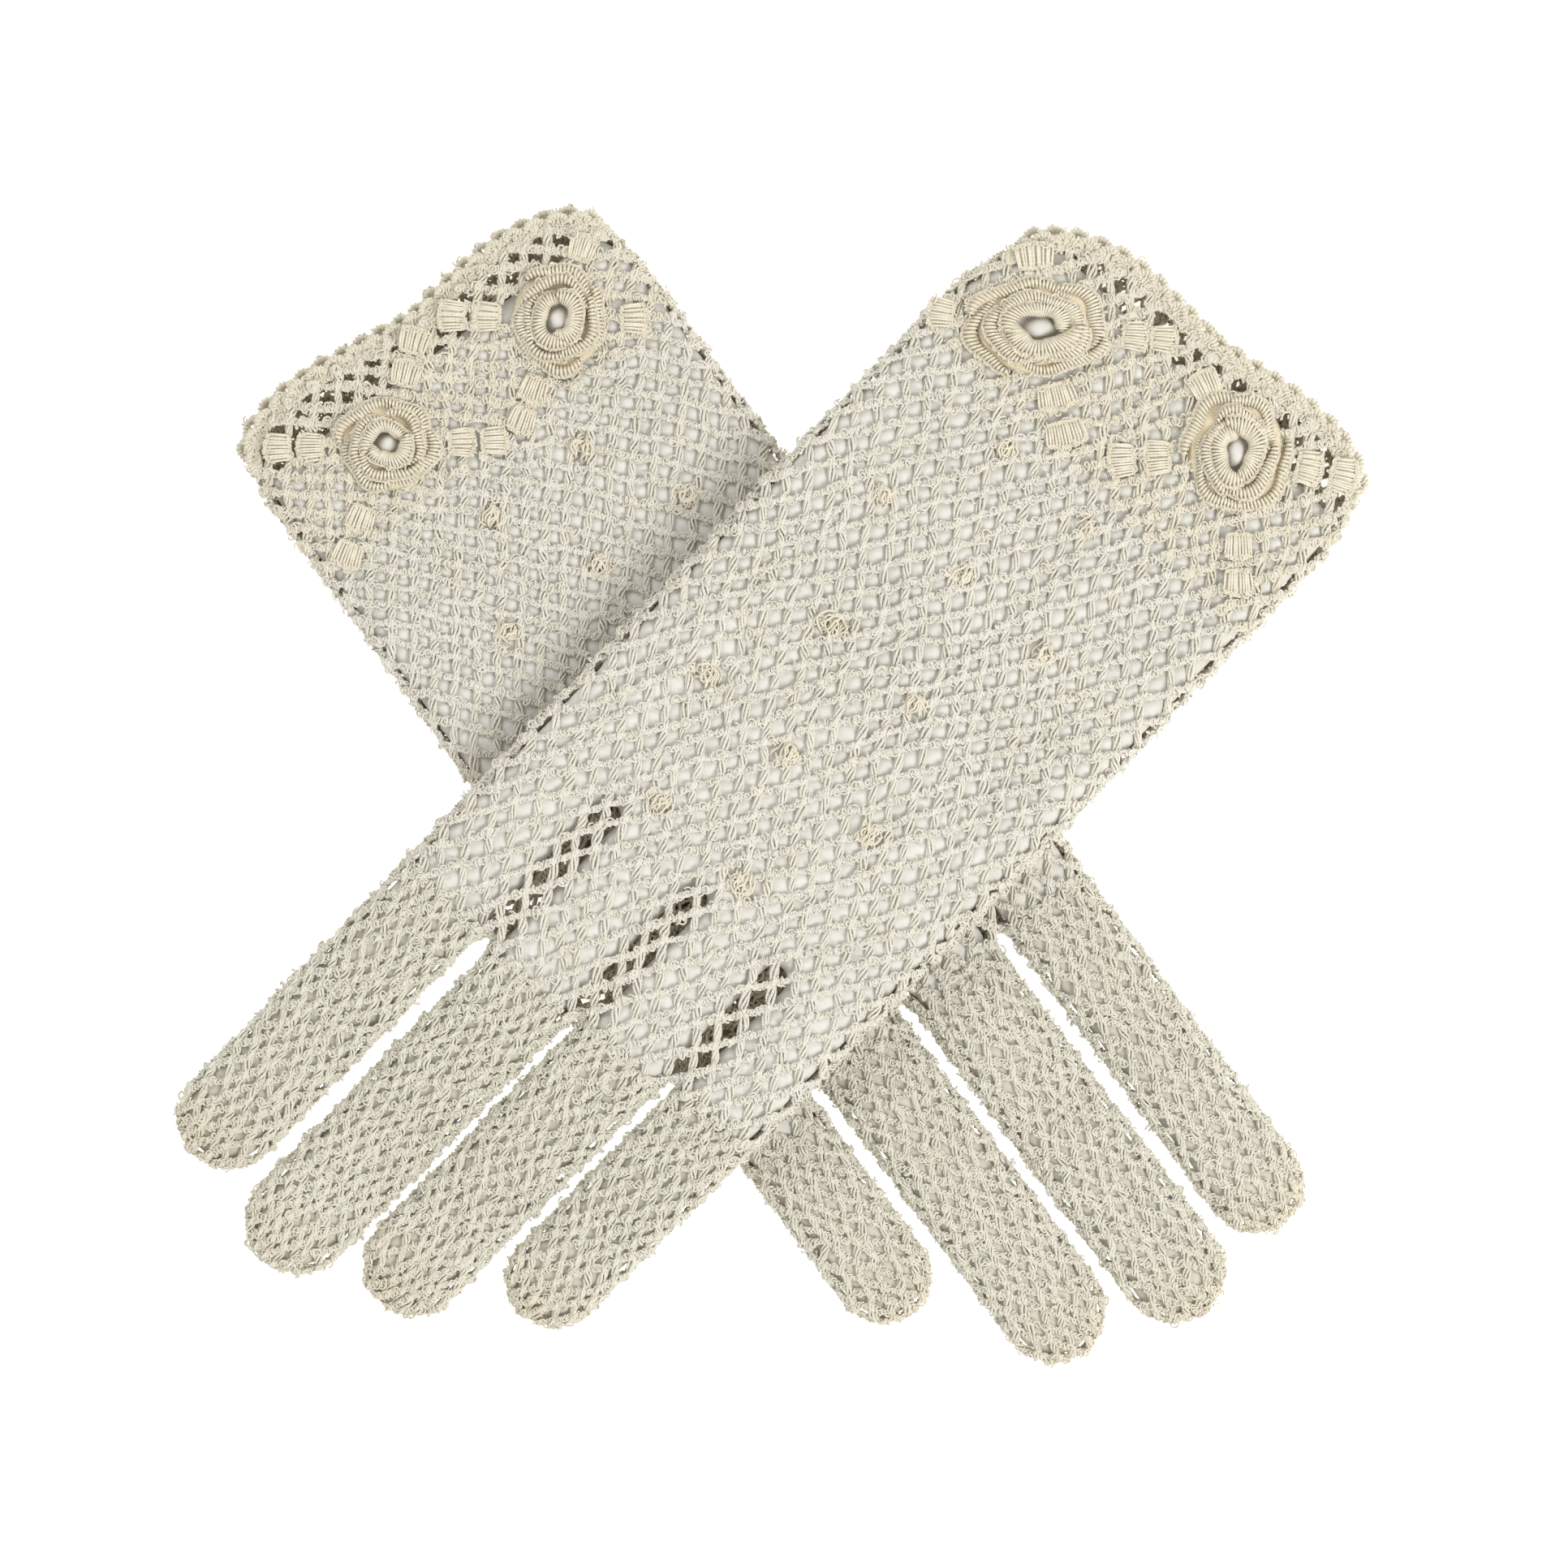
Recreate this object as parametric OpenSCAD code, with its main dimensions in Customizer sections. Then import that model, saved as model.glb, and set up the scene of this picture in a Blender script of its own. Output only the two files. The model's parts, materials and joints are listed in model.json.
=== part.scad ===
// A pair of crochet-lace wedding gloves, each round a soft white insert.
// They lie backs up and crossed, the left-hand glove over the right-hand one.
// Each glove is drawn in its own plan: x runs along it towards the fingertips,
// y runs across it towards the little finger, and z is height above the table.
// Lists of four run index, middle, ring, little. Lists of three are the gaps between them.

/* [Layers] */
// Thickness of a glove with its insert inside
glove_thick = 6.8; // [6.4:0.1:8]
// Thickness of one layer of crochet
lace_thick = 1.1; // [0.8:0.1:1.2]
// Clearance between the crochet and the insert
insert_gap = 0.1; // [0.05:0.05:0.2]
// Clearance between a finger and the hand at the knuckle line
knuckle_gap = 0.3; // [0.2:0.1:0.5]
// Clearance between things stacked on each other
stack_gap = 0.4; // [0.3:0.1:0.6]

/* [Placing] */
// Where the left glove's fingers point, in degrees round from +X
left_angle = 225.6; // [215:0.1:235]
// Where the right glove's fingers point, in degrees round from +X
right_angle = -53.4; // [-65:0.1:-45]
// Where the gloves cross, from the middle of the pair
crossing_at = [-0.3, 0.14]; // [-10:0.1:10]

/* [Left glove] */
// Centre lines of the left fingers, across the hand
left_finger_y = [-30.7, -6.5, 15.9, 37.8]; // [-40:0.1:45]
// Widths of the left fingers
left_finger_w = [20, 20.3, 19.6, 18.8]; // [14:0.1:21]
// Tips of the left fingers, along the hand
left_tip = [133, 138.3, 128, 110]; // [100:0.1:150]
// Knuckle lines of the left fingers, along the hand
left_knuckle = [61.2, 61.2, 59.3, 55.5]; // [55:0.1:64]
// Bottoms of the gaps between the left fingers, along the hand
left_crotch = [60.2, 57.9, 54.6]; // [50:0.1:60.5]
// Index and little-finger edges of the left wrist, across the hand
left_wrist = [-43.2, 46.4]; // [-50:0.1:50]
// Depth of the left cuff and how much deeper it is on the little-finger side
left_cuff = [38.2, 3]; // [0:0.1:45]

/* [Right glove] */
// Centre lines of the right fingers, across the hand
right_finger_y = [-28.8, -5.5, 18.1, 41.1]; // [-40:0.1:45]
// Widths of the right fingers
right_finger_w = [18.8, 20.1, 20.1, 18.5]; // [14:0.1:21]
// Tips of the right fingers, along the hand
right_tip = [130, 134.7, 127, 100.6]; // [95:0.1:150]
// Knuckle lines of the right fingers, along the hand
right_knuckle = [50.8, 51.8, 53.6, 58.3]; // [50:0.1:62]
// Bottoms of the gaps between the right fingers, along the hand
right_crotch = [49.4, 49.4, 52.6]; // [45:0.1:53]
// Index and little-finger edges of the right wrist, across the hand
right_wrist = [-40, 47.4]; // [-50:0.1:50]
// Depth of the right cuff and how much deeper it is on the little-finger side
right_cuff = [31.8, 0.7]; // [0:0.1:45]

/* [Wrist and cuff] */
// Where the hand net ends and the cuff band begins, along the hand
cuff_line = -86; // [-92:0.5:-80]
// How far the insert stops short of the mouth
mouth_depth = 9.5; // [8:0.5:14]
// Width of the scalloped edging
edging_w = 2.2; // [1.5:0.1:3]
// Gap between the edging and the cuff it is sewn to
edging_gap = 0.2; // [0.1:0.1:0.5]
// How much further the back edge of the mouth reaches than the front edge
back_reach = 1.5; // [1:0.1:3]
// Scallops round the mouth
scallops = 20; // [12:1:26]

/* [Thumb] */
// Width of an empty, flattened thumb
thumb_w = 22; // [18:0.5:24]
// Thickness of an empty, flattened thumb
thumb_thick = 2.4; // [2:0.1:2.6]
// Length of a thumb from its root's centre
thumb_len = 55; // [45:0.5:60]
// Centre of a thumb's root, along and across the hand
thumb_root = [-20, -28]; // [-30:0.5:0]
// How far a stored thumb leans towards the little finger, in degrees
thumb_lean = 30; // [20:1:40]

/* [Insert] */
// Width of the slots between the insert's fingers
slot_w = 4.7; // [4:0.1:5]
// Where those slots begin, along the hand
slot_from = 25.4; // [20:0.1:30]

/* [Trimmings] */
// Height of each of a rose's three rounds
round_h = 1.45; // [1:0.05:1.8]
// Petals round a rose
petals = 8; // [6:1:10]
// Thickness of the crocheted fans
fan_h = 0.9; // [0.6:0.1:1.2]
// Length of a crocheted fan from its point to its rim
fan_len = 4.8; // [3.5:0.1:5.5]
// Radius of a bobble
bobble_r = 2.4; // [1.8:0.1:3]
// Distance between bobbles across the hand
bobble_pitch = 22.2; // [20:0.1:26]

/* [Hidden] */
$fn = 48;
sides = ["left", "right"];
fingers = ["index", "middle", "ring", "little"];
roses = ["a", "b"];

ivory = [0.91, 0.885, 0.81];
beige = [0.85, 0.825, 0.745];
cream = [0.92, 0.885, 0.78];
soft_white = [0.95, 0.95, 0.94];

// Heights of the stack: the right glove rests on its thumb, the left glove on
// its own thumb on top of the right glove.
right_lift = thumb_thick + stack_gap;
left_thumb_z = right_lift + glove_thick + 0.3;
left_lift = left_thumb_z + thumb_thick + stack_gap;

// Each glove runs flat on the table, climbs to its lift and comes down again.
// [cuff-side foot, cuff-side head, finger-side head, finger-side foot]
left_ramp = [-86, -47, 55, 108];
right_ramp = [-60, -38, 32, 50.5];

// Roses: [centre along, centre across, half length, half width, compass turn]
left_roses = [[-100.5, -25.3, 14.3, 9.6, 0], [-110.2, 19.6, 9.8, 12.4, 0]];
right_roses = [[-98.6, -20.1, 9.6, 10.8, 0], [-98.9, 21.7, 10.2, 9.4, 0]];

// Fans in lines out of each rose: [rose, compass direction, distances from its centre]
left_fans = [
    [0, -76, [13.7, 21.3]], [0, -5, [18.8, 24.5]], [0, 94, [14]], [0, 171, [19.5]],
    [1, -176, [15.5, 22.6]], [1, -89, [18.4, 25.6]], [1, -13, [14.6, 21.5]], [1, 115, [14.6]]
];
right_fans = [
    [0, -110, [14.4, 21]], [0, 1, [14.6]], [0, 72, [14.7]], [0, 178, [14, 21]],
    [1, -110, [15.5, 23]], [1, 2, [14.4, 20.8]], [1, 76, [14.4, 21]], [1, 182, [15.2, 21.6]]
];

// Rows of bobbles: [first row along, distance between rows, first across, rows]
left_bobbles = [-78.5, 24.35, -13, 5];
right_bobbles = [-75.5, 20.5, -8.6, 2];

function is_left(g) = g == 0;
function finger_y(g) = is_left(g) ? left_finger_y : right_finger_y;
function finger_w(g) = is_left(g) ? left_finger_w : right_finger_w;
function tip(g) = is_left(g) ? left_tip : right_tip;
function knuckle(g) = is_left(g) ? left_knuckle : right_knuckle;
function crotch(g) = is_left(g) ? left_crotch : right_crotch;
function wrist(g) = is_left(g) ? left_wrist : right_wrist;
function cuff(g) = is_left(g) ? left_cuff : right_cuff;
function lift(g) = is_left(g) ? left_lift : right_lift;
function ramp(g) = is_left(g) ? left_ramp : right_ramp;
function rose_list(g) = is_left(g) ? left_roses : right_roses;
function fan_list(g) = is_left(g) ? left_fans : right_fans;
function corner_power(g) = is_left(g) ? [3.2, 5] : [4.2, 6];

// A compass direction, in degrees round from +X, as a direction in a glove's own plan.
function plan_turn(g, a) = is_left(g) ? a - left_angle : right_angle - a;

// The two sides of finger f, and the middle of the gap after it.
function low_y(g, f) = finger_y(g)[f] - finger_w(g)[f] / 2;
function high_y(g, f) = finger_y(g)[f] + finger_w(g)[f] / 2;
function gap_y(g, k) = (high_y(g, k) + low_y(g, k + 1)) / 2;
function gap_w(g, k) = low_y(g, k + 1) - high_y(g, k);

// Height of a glove's underside above the table.
function ease(t) = let (u = min(1, max(0, t))) u * u * (3 - 2 * u);
function climb(g, x) = ease((x - ramp(g)[0]) / (ramp(g)[1] - ramp(g)[0]));
function descent(g, x) = ease((ramp(g)[3] - x) / (ramp(g)[3] - ramp(g)[2]));
function under(g, x) = lift(g) * climb(g, x) * descent(g, x);

ramp_steps = 10;
far = 160;
function ramp_stations(a, b) = [for (k = [0:ramp_steps]) a + (b - a) * k / ramp_steps];
function stations(g) = concat(
    [-far],
    ramp_stations(ramp(g)[0], ramp(g)[1]),
    ramp_stations(ramp(g)[2], ramp(g)[3]),
    [far]
);

// Stands a glove's plan in its place on the table.
module place(g) {
    translate([crossing_at[0], crossing_at[1], 0])
        rotate([0, 0, is_left(g) ? left_angle : right_angle])
            mirror([0, is_left(g) ? 0 : 1, 0])
                children();
}

// A plan shape given the glove's draped height, from z_low to z_high above its underside.
module drape(g, z_low, z_high) {
    intersection() {
        linear_extrude(height = 60) children();
        rotate([90, 0, 0])
            linear_extrude(height = 2 * far, center = true)
                polygon(concat(
                    [for (x = stations(g)) [x, under(g, x) + z_low]],
                    [for (i = [len(stations(g)) - 1:-1:0])
                        let (x = stations(g)[i]) [x, under(g, x) + z_high]]
                ));
    }
}

// The whole plan from the mouth to the knuckle lines, drawn in by inset and run
// on past the knuckle lines by overrun.
module body_plan(g, inset, overrun) {
    last = max(knuckle(g)) + overrun;
    difference() {
        polygon(concat(
            [[last, low_y(g, 0) + inset]],
            [for (t = [0:6:180]) mouth_point(g, t, -inset)],
            [[last, high_y(g, 3) - inset]]
        ));
        for (k = [0:2]) finger_gap(g, k, inset);
        for (f = [0:3]) beyond_knuckle(g, f, overrun);
    }
}

module hand_plan(g, inset, overrun) {
    difference() {
        body_plan(g, inset, overrun);
        translate([cuff_line - overrun - far, -far]) square([far, 2 * far]);
    }
}

module cuff_plan(g, inset, overrun) {
    difference() {
        body_plan(g, inset, 0);
        translate([cuff_line + overrun, -far]) square([2 * far, 2 * far]);
    }
}

// The gap after finger k, with its round bottom at the crotch.
module finger_gap(g, k, inset) {
    half = gap_w(g, k) / 2 + inset;
    translate([crotch(g)[k] - inset + half, gap_y(g, k)]) {
        circle(half);
        translate([0, -half]) square([far, 2 * half]);
    }
}

// What lies past the knuckle line of finger f, over that finger's share of the width.
module beyond_knuckle(g, f, overrun) {
    from_y = f == 0 ? -far : gap_y(g, f - 1);
    to_y = f == 3 ? far : gap_y(g, f);
    translate([knuckle(g)[f] + overrun, from_y]) square([far, to_y - from_y]);
}

module finger_plan(g, f, inset, overrun) {
    r = finger_w(g)[f] / 2 - inset;
    start = knuckle(g)[f] + knuckle_gap - overrun;
    stop = tip(g)[f] - inset - r;
    translate([start, finger_y(g)[f] - r]) square([stop - start, 2 * r]);
    translate([stop, finger_y(g)[f]]) circle(r);
}

// A point of the mouth's outline: t runs from 0 on the index side to 180 on the
// little-finger side, and reach moves the point outwards.
function mouth_point(g, t, reach) =
    let (
        side = cos(t) > 0 ? 0 : 1,
        power = corner_power(g)[side],
        half = (wrist(g)[1] - wrist(g)[0]) / 2,
        across = cos(t) > 0 ? pow(cos(t), 2 / power) : -pow(-cos(t), 2 / power),
        depth = cuff(g)[0] - cuff(g)[1] * across,
        dip = 3.2 * exp(-pow(across / 0.35, 2))
    )
    [
        cuff_line - (depth - dip + reach) * pow(sin(t), 2 / power),
        (wrist(g)[0] + wrist(g)[1]) / 2 - (half + reach) * across
    ];

// A scalloped strip along the mouth, from just clear of the cuff to reach_out.
module edging_plan(g, reach_out) {
    scallop_h = 0.7;
    polygon(concat(
        [for (t = [12:3:168])
            mouth_point(g, t, reach_out - scallop_h * (1 - abs(sin(scallops * t))))],
        [for (t = [168:-6:12]) mouth_point(g, t, edging_gap)]
    ));
}

module hand_net(g) {
    color(ivory) place(g) difference() {
        drape(g, 0, glove_thick) hand_plan(g, 0, 0);
        drape(g, lace_thick, glove_thick - lace_thick) hand_plan(g, lace_thick, 1);
    }
}

module finger(g, f) {
    color(beige) place(g) difference() {
        drape(g, 0, glove_thick) finger_plan(g, f, 0, 0);
        drape(g, lace_thick, glove_thick - lace_thick) finger_plan(g, f, lace_thick, 1);
    }
}

module thumb(g) {
    base = is_left(g) ? left_thumb_z : 0;
    r = thumb_w / 2;
    color(beige) place(g)
        translate([thumb_root[0], thumb_root[1], base])
            rotate([0, 0, thumb_lean])
                linear_extrude(height = thumb_thick) {
                    circle(r);
                    translate([0, -r]) square([thumb_len - r, thumb_w]);
                    translate([thumb_len - r, 0]) circle(r);
                }
}

module cuff_band(g) {
    color(cream) place(g) difference() {
        drape(g, 0, glove_thick) cuff_plan(g, 0, 0);
        drape(g, lace_thick, glove_thick - lace_thick) {
            cuff_plan(g, lace_thick, 1);
            mouth_opening(g);
        }
    }
}

// The way in through the middle of the mouth, between the rounded corners.
module mouth_opening(g) {
    half = (wrist(g)[1] - wrist(g)[0]) / 2 - 12;
    middle = (wrist(g)[0] + wrist(g)[1]) / 2;
    translate([cuff_line - 70, middle - half]) square([60, 2 * half]);
}

module cuff_edging(g) {
    color(cream) place(g) {
        drape(g, glove_thick - lace_thick, glove_thick) edging_plan(g, edging_w);
        drape(g, 0.2, lace_thick) edging_plan(g, edging_w + back_reach);
    }
}

// One round of a rose: petals between an outer and an inner oval, as shares of its size.
module petal_round(g, r, level, outer, inner) {
    rose = rose_list(g)[r];
    notch = 0.1;
    level_z = glove_thick + level * round_h;
    oval = [for (t = [0:6:354]) [rose[2] * cos(t), rose[3] * sin(t)]];
    lobes = [for (i = [0:len(oval) - 1]) oval[i] * (1 - notch * (1 - abs(sin(petals * 3 * i))))];
    color(cream) place(g)
        translate([rose[0], rose[1], level_z])
            rotate([0, 0, plan_turn(g, rose[4])])
                linear_extrude(height = round_h)
                    difference() {
                        scale(outer) polygon(lobes);
                        scale(inner) polygon(oval);
                    }
}

module cuff_shells(g) {
    color(cream) place(g)
        drape(g, glove_thick, glove_thick + fan_h)
            for (line = fan_list(g), out = line[2]) {
                rose = rose_list(g)[line[0]];
                a = plan_turn(g, line[1]);
                start = out - fan_len / 2;
                translate([rose[0] + start * cos(a), rose[1] + start * sin(a)])
                    rotate([0, 0, a]) fan_plan();
            }
}

module fan_plan() {
    spread = 36;
    polygon(concat([[0, 0]], [for (a = [-spread:18:spread]) fan_len * [cos(a), sin(a)]]));
}

module bobbles(g) {
    rows = is_left(g) ? left_bobbles : right_bobbles;
    color(cream) place(g) difference() {
        for (i = [0:rows[3] - 1], k = [0:1 + i % 2]) {
            x = rows[0] + i * rows[1];
            y = rows[2] + (k - (i % 2) / 2) * bobble_pitch;
            translate([x, y, under(g, x) + glove_thick - 0.6]) sphere(bobble_r, $fn = 24);
        }
        drape(g, -bobble_r, glove_thick) square(2 * far, center = true);
    }
}

// The palm part of the insert, slotted between the fingers.
module insert_palm(g) {
    inset = lace_thick + insert_gap;
    insert_end = cuff_line - (cuff(g)[0] - mouth_depth);
    color(soft_white) place(g)
        drape(g, inset, glove_thick - inset)
            difference() {
                body_plan(g, inset, 0);
                translate([insert_end - far, -far]) square([far, 2 * far]);
                for (k = [0:2]) insert_slot(g, k);
            }
}

module insert_slot(g, k) {
    translate([slot_from + slot_w / 2, gap_y(g, k)]) {
        circle(slot_w / 2);
        translate([0, -slot_w / 2]) square([far, slot_w]);
    }
}

module insert_finger(g, f) {
    inset = lace_thick + insert_gap;
    color(soft_white) place(g)
        drape(g, inset, glove_thick - inset)
            finger_plan(g, f, inset, 0);
}

for (g = [0, 1]) {
    side = sides[g];
    hand_net(g);
    thumb(g);
    cuff_band(g);
    cuff_edging(g);
    cuff_shells(g);
    bobbles(g);
    insert_palm(g);
    for (f = [0:3]) {
        finger(g, f);
        insert_finger(g, f);
    }
    for (r = [0, 1]) {
        rose = str(side, "_rose_", roses[r]);
        petal_round(g, r, 0, 1, 0.6);
        petal_round(g, r, 1, 0.76, 0.42);
        petal_round(g, r, 2, 0.55, 0.3);
    }
}
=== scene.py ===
"""A pair of crochet lace gloves, one crossed over the other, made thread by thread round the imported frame."""

import json
import math

import bpy
import numpy as np
from mathutils.bvhtree import BVHTree
from mathutils.kdtree import KDTree
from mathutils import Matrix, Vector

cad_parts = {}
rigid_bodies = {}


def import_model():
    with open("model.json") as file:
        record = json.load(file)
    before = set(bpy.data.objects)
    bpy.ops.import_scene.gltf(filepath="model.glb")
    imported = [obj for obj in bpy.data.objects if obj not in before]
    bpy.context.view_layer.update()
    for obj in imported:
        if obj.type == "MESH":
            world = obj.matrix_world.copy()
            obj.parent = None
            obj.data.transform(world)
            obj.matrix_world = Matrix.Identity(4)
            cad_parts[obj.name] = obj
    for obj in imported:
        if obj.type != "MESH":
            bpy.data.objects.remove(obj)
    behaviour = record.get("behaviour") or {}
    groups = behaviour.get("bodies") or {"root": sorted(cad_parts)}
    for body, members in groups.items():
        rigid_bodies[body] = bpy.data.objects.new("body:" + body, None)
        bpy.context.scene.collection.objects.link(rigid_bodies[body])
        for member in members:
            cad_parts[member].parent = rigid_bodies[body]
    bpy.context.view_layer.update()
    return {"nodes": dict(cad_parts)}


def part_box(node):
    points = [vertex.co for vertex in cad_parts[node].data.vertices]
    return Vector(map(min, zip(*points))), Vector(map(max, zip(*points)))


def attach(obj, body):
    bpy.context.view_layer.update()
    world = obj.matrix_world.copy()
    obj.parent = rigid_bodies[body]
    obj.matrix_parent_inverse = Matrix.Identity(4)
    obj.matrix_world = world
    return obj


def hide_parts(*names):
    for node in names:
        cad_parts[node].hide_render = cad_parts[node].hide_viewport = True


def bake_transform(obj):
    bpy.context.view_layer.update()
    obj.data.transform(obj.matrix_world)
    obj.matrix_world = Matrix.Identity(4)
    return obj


for left_over in list(bpy.data.objects):
    bpy.data.objects.remove(left_over)
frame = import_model()

# ---------------------------------------------------------------- driving values, in mm and degrees
MM = 0.001
TAU = 2 * math.pi
FINGERS = ("index", "middle", "ring", "little")
# where the two gloves' own axes cross: the origin of "along" and "across" on both
CROSSING = (-0.3, 0.14)
# how far along a glove its cuff ends and its hand begins
CUFF_LINE = -86.0
# step of the height maps, and how far in from its outline a glove is rounded
GRID_PITCH = 0.5
EDGE_ROUND = 4.2
EDGE_MARGIN = 0.15
# steps along outlines and along cords
OUTLINE_STEP = 0.35
CORD_STEP = 0.2
# random unevenness of a strand
KINK = 0.06
RIB_PITCH = 0.62
PETAL_PITCH = 0.74
# outline points that neighbouring stretches of edge share
OVERLAP = 4
# labels of the outline's stretches; a finger's stretch has the finger's number
HAND_EDGE, CUFF_EDGE, MOUTH_EDGE = 10, 11, 12

# turn and flip place a glove's own axes: along it to the fingertips, and across it to the little finger
# finger_y, knuckle and tip: each finger's place across, and where it starts and ends along
# row_dir and post_dir: direction of the net's rows and posts at stations along the glove
# finger_rows: for each finger, directions of its rows and posts, then the steps between posts and rows
GLOVES = {
    "left": {
        "seed": 11,
        "turn": 225.6,
        "flip": 1,
        "finger_y": (-30.7, -6.5, 15.9, 37.8),
        "knuckle": (61.2, 61.2, 59.3, 55.5),
        "tip": (133.0, 138.3, 128.0, 110.0),
        "stations": (-120, -86, -40, 30, 70),
        "row_dir": (17, 15, 13, 14, 17),
        "post_dir": (90, 88, 81, 80, 76),
        "row_step": 4.55,
        "post_step": 4.6,
        "finger_rows": (
            (16, 68, 3.45, 3.35), (17, 68, 3.3, 3.2),
            (17, 68, 3.3, 3.2), (16, 68, 3.4, 3.3),
        ),
    },
    "right": {
        "seed": 23,
        "turn": -53.4,
        "flip": -1,
        "finger_y": (-28.8, -5.5, 18.1, 41.1),
        "knuckle": (50.8, 51.8, 53.6, 58.3),
        "tip": (130.0, 134.7, 127.0, 100.6),
        "stations": (-120, -80, -62, -30, 70),
        "row_dir": (-2, -6, -13, -18, -20),
        "post_dir": (78, 80, 84, 86, 96),
        "row_step": 4.35,
        "post_step": 4.25,
        "finger_rows": (
            (-20, 108, 4.1, 3.5), (-19, 108, 3.8, 3.3),
            (-19, 108, 3.8, 3.3), (-18, 107, 3.9, 3.4),
        ),
    },
}


# ---------------------------------------------------------------- plan geometry
def turned(side):
    """Cosine and sine of a glove's turn."""
    a = math.radians(GLOVES[side]["turn"])
    return math.cos(a), math.sin(a)


def to_plan(side, xy):
    """Points of the row frame, in mm, as places along and across the glove."""
    c, s = turned(side)
    dx = xy[..., 0] - CROSSING[0]
    dy = xy[..., 1] - CROSSING[1]
    return np.stack([dx * c + dy * s, (dy * c - dx * s) * GLOVES[side]["flip"]], -1)


def to_world(side, along_across):
    """Places along and across the glove as points in the row frame, in mm."""
    c, s = turned(side)
    x = along_across[..., 0]
    y = along_across[..., 1] * GLOVES[side]["flip"]
    return np.stack([CROSSING[0] + x * c - y * s, CROSSING[1] + x * s + y * c], -1)


def unit(v):
    return v / np.maximum(np.linalg.norm(v, axis=-1, keepdims=True), 1e-9)


def with_height(xy, z):
    """Plan points with a third coordinate."""
    return np.concatenate([xy, np.broadcast_to(np.asarray(z, float), xy.shape[:-1])[..., None]], -1)


def upright(path):
    return np.broadcast_to([0.0, 0.0, 1.0], path.shape)


def add_object(name, mesh, *materials):
    ob = bpy.data.objects.new(name, mesh)
    bpy.context.scene.collection.objects.link(ob)
    for material in materials:
        mesh.materials.append(material)
    return ob


def direction(degrees):
    """Unit direction in plan."""
    a = np.radians(degrees)
    return np.stack([np.cos(a), np.sin(a)], -1)


def node_mesh(name):
    """(vertices in mm, triangles) of a CAD node."""
    me = frame["nodes"][name].data
    me.calc_loop_triangles()
    co = np.empty(len(me.vertices) * 3)
    me.vertices.foreach_get("co", co)
    tri = np.empty(len(me.loop_triangles) * 3, np.int64)
    me.loop_triangles.foreach_get("vertices", tri)
    return co.reshape(-1, 3) * 1000, tri.reshape(-1, 3)


def blurred(a, times):
    """A height map smoothed with its neighbours."""
    for _ in range(times):
        p = np.pad(a, 1, mode="edge")
        a = (p[1:-1, :-2] + 2 * p[1:-1, 1:-1] + p[1:-1, 2:]) / 4
        p = np.pad(a, 1, mode="edge")
        a = (p[:-2, 1:-1] + 2 * p[1:-1, 1:-1] + p[2:, 1:-1]) / 4
    return a


def spread(values, known, steps):
    """Carries known values outwards over their unknown neighbours."""
    values = np.where(known, values, 0.0)
    known = known.astype(float)
    for _ in range(steps):
        v = np.pad(values * known, 1)
        k = np.pad(known, 1)
        around = [(0, 1), (2, 1), (1, 0), (1, 2), (0, 0), (0, 2), (2, 0), (2, 2)]
        h, w = values.shape
        total = sum(v[i:i + h, j:j + w] for i, j in around)
        count = sum(k[i:i + h, j:j + w] for i, j in around)
        new = (known == 0) & (count > 0)
        values = np.where(new, total / np.maximum(count, 1), values)
        known = np.where(new, 1.0, known)
    return values


def closed_up(mask):
    """The mask with gaps one cell wide filled."""
    def grow(m):
        p = np.pad(m, 1)
        h, w = m.shape
        return np.any([p[i:i + h, j:j + w] for i in range(3) for j in range(3)], axis=0)
    return ~grow(~grow(mask))


def nearest(points, places):
    """How far each place is from its nearest point."""
    tree = KDTree(len(points))
    for i, (x, y) in enumerate(points):
        tree.insert((x, y, 0.0), i)
    tree.balance()
    return np.array([tree.find((x, y, 0.0))[2] for x, y in places])


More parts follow.
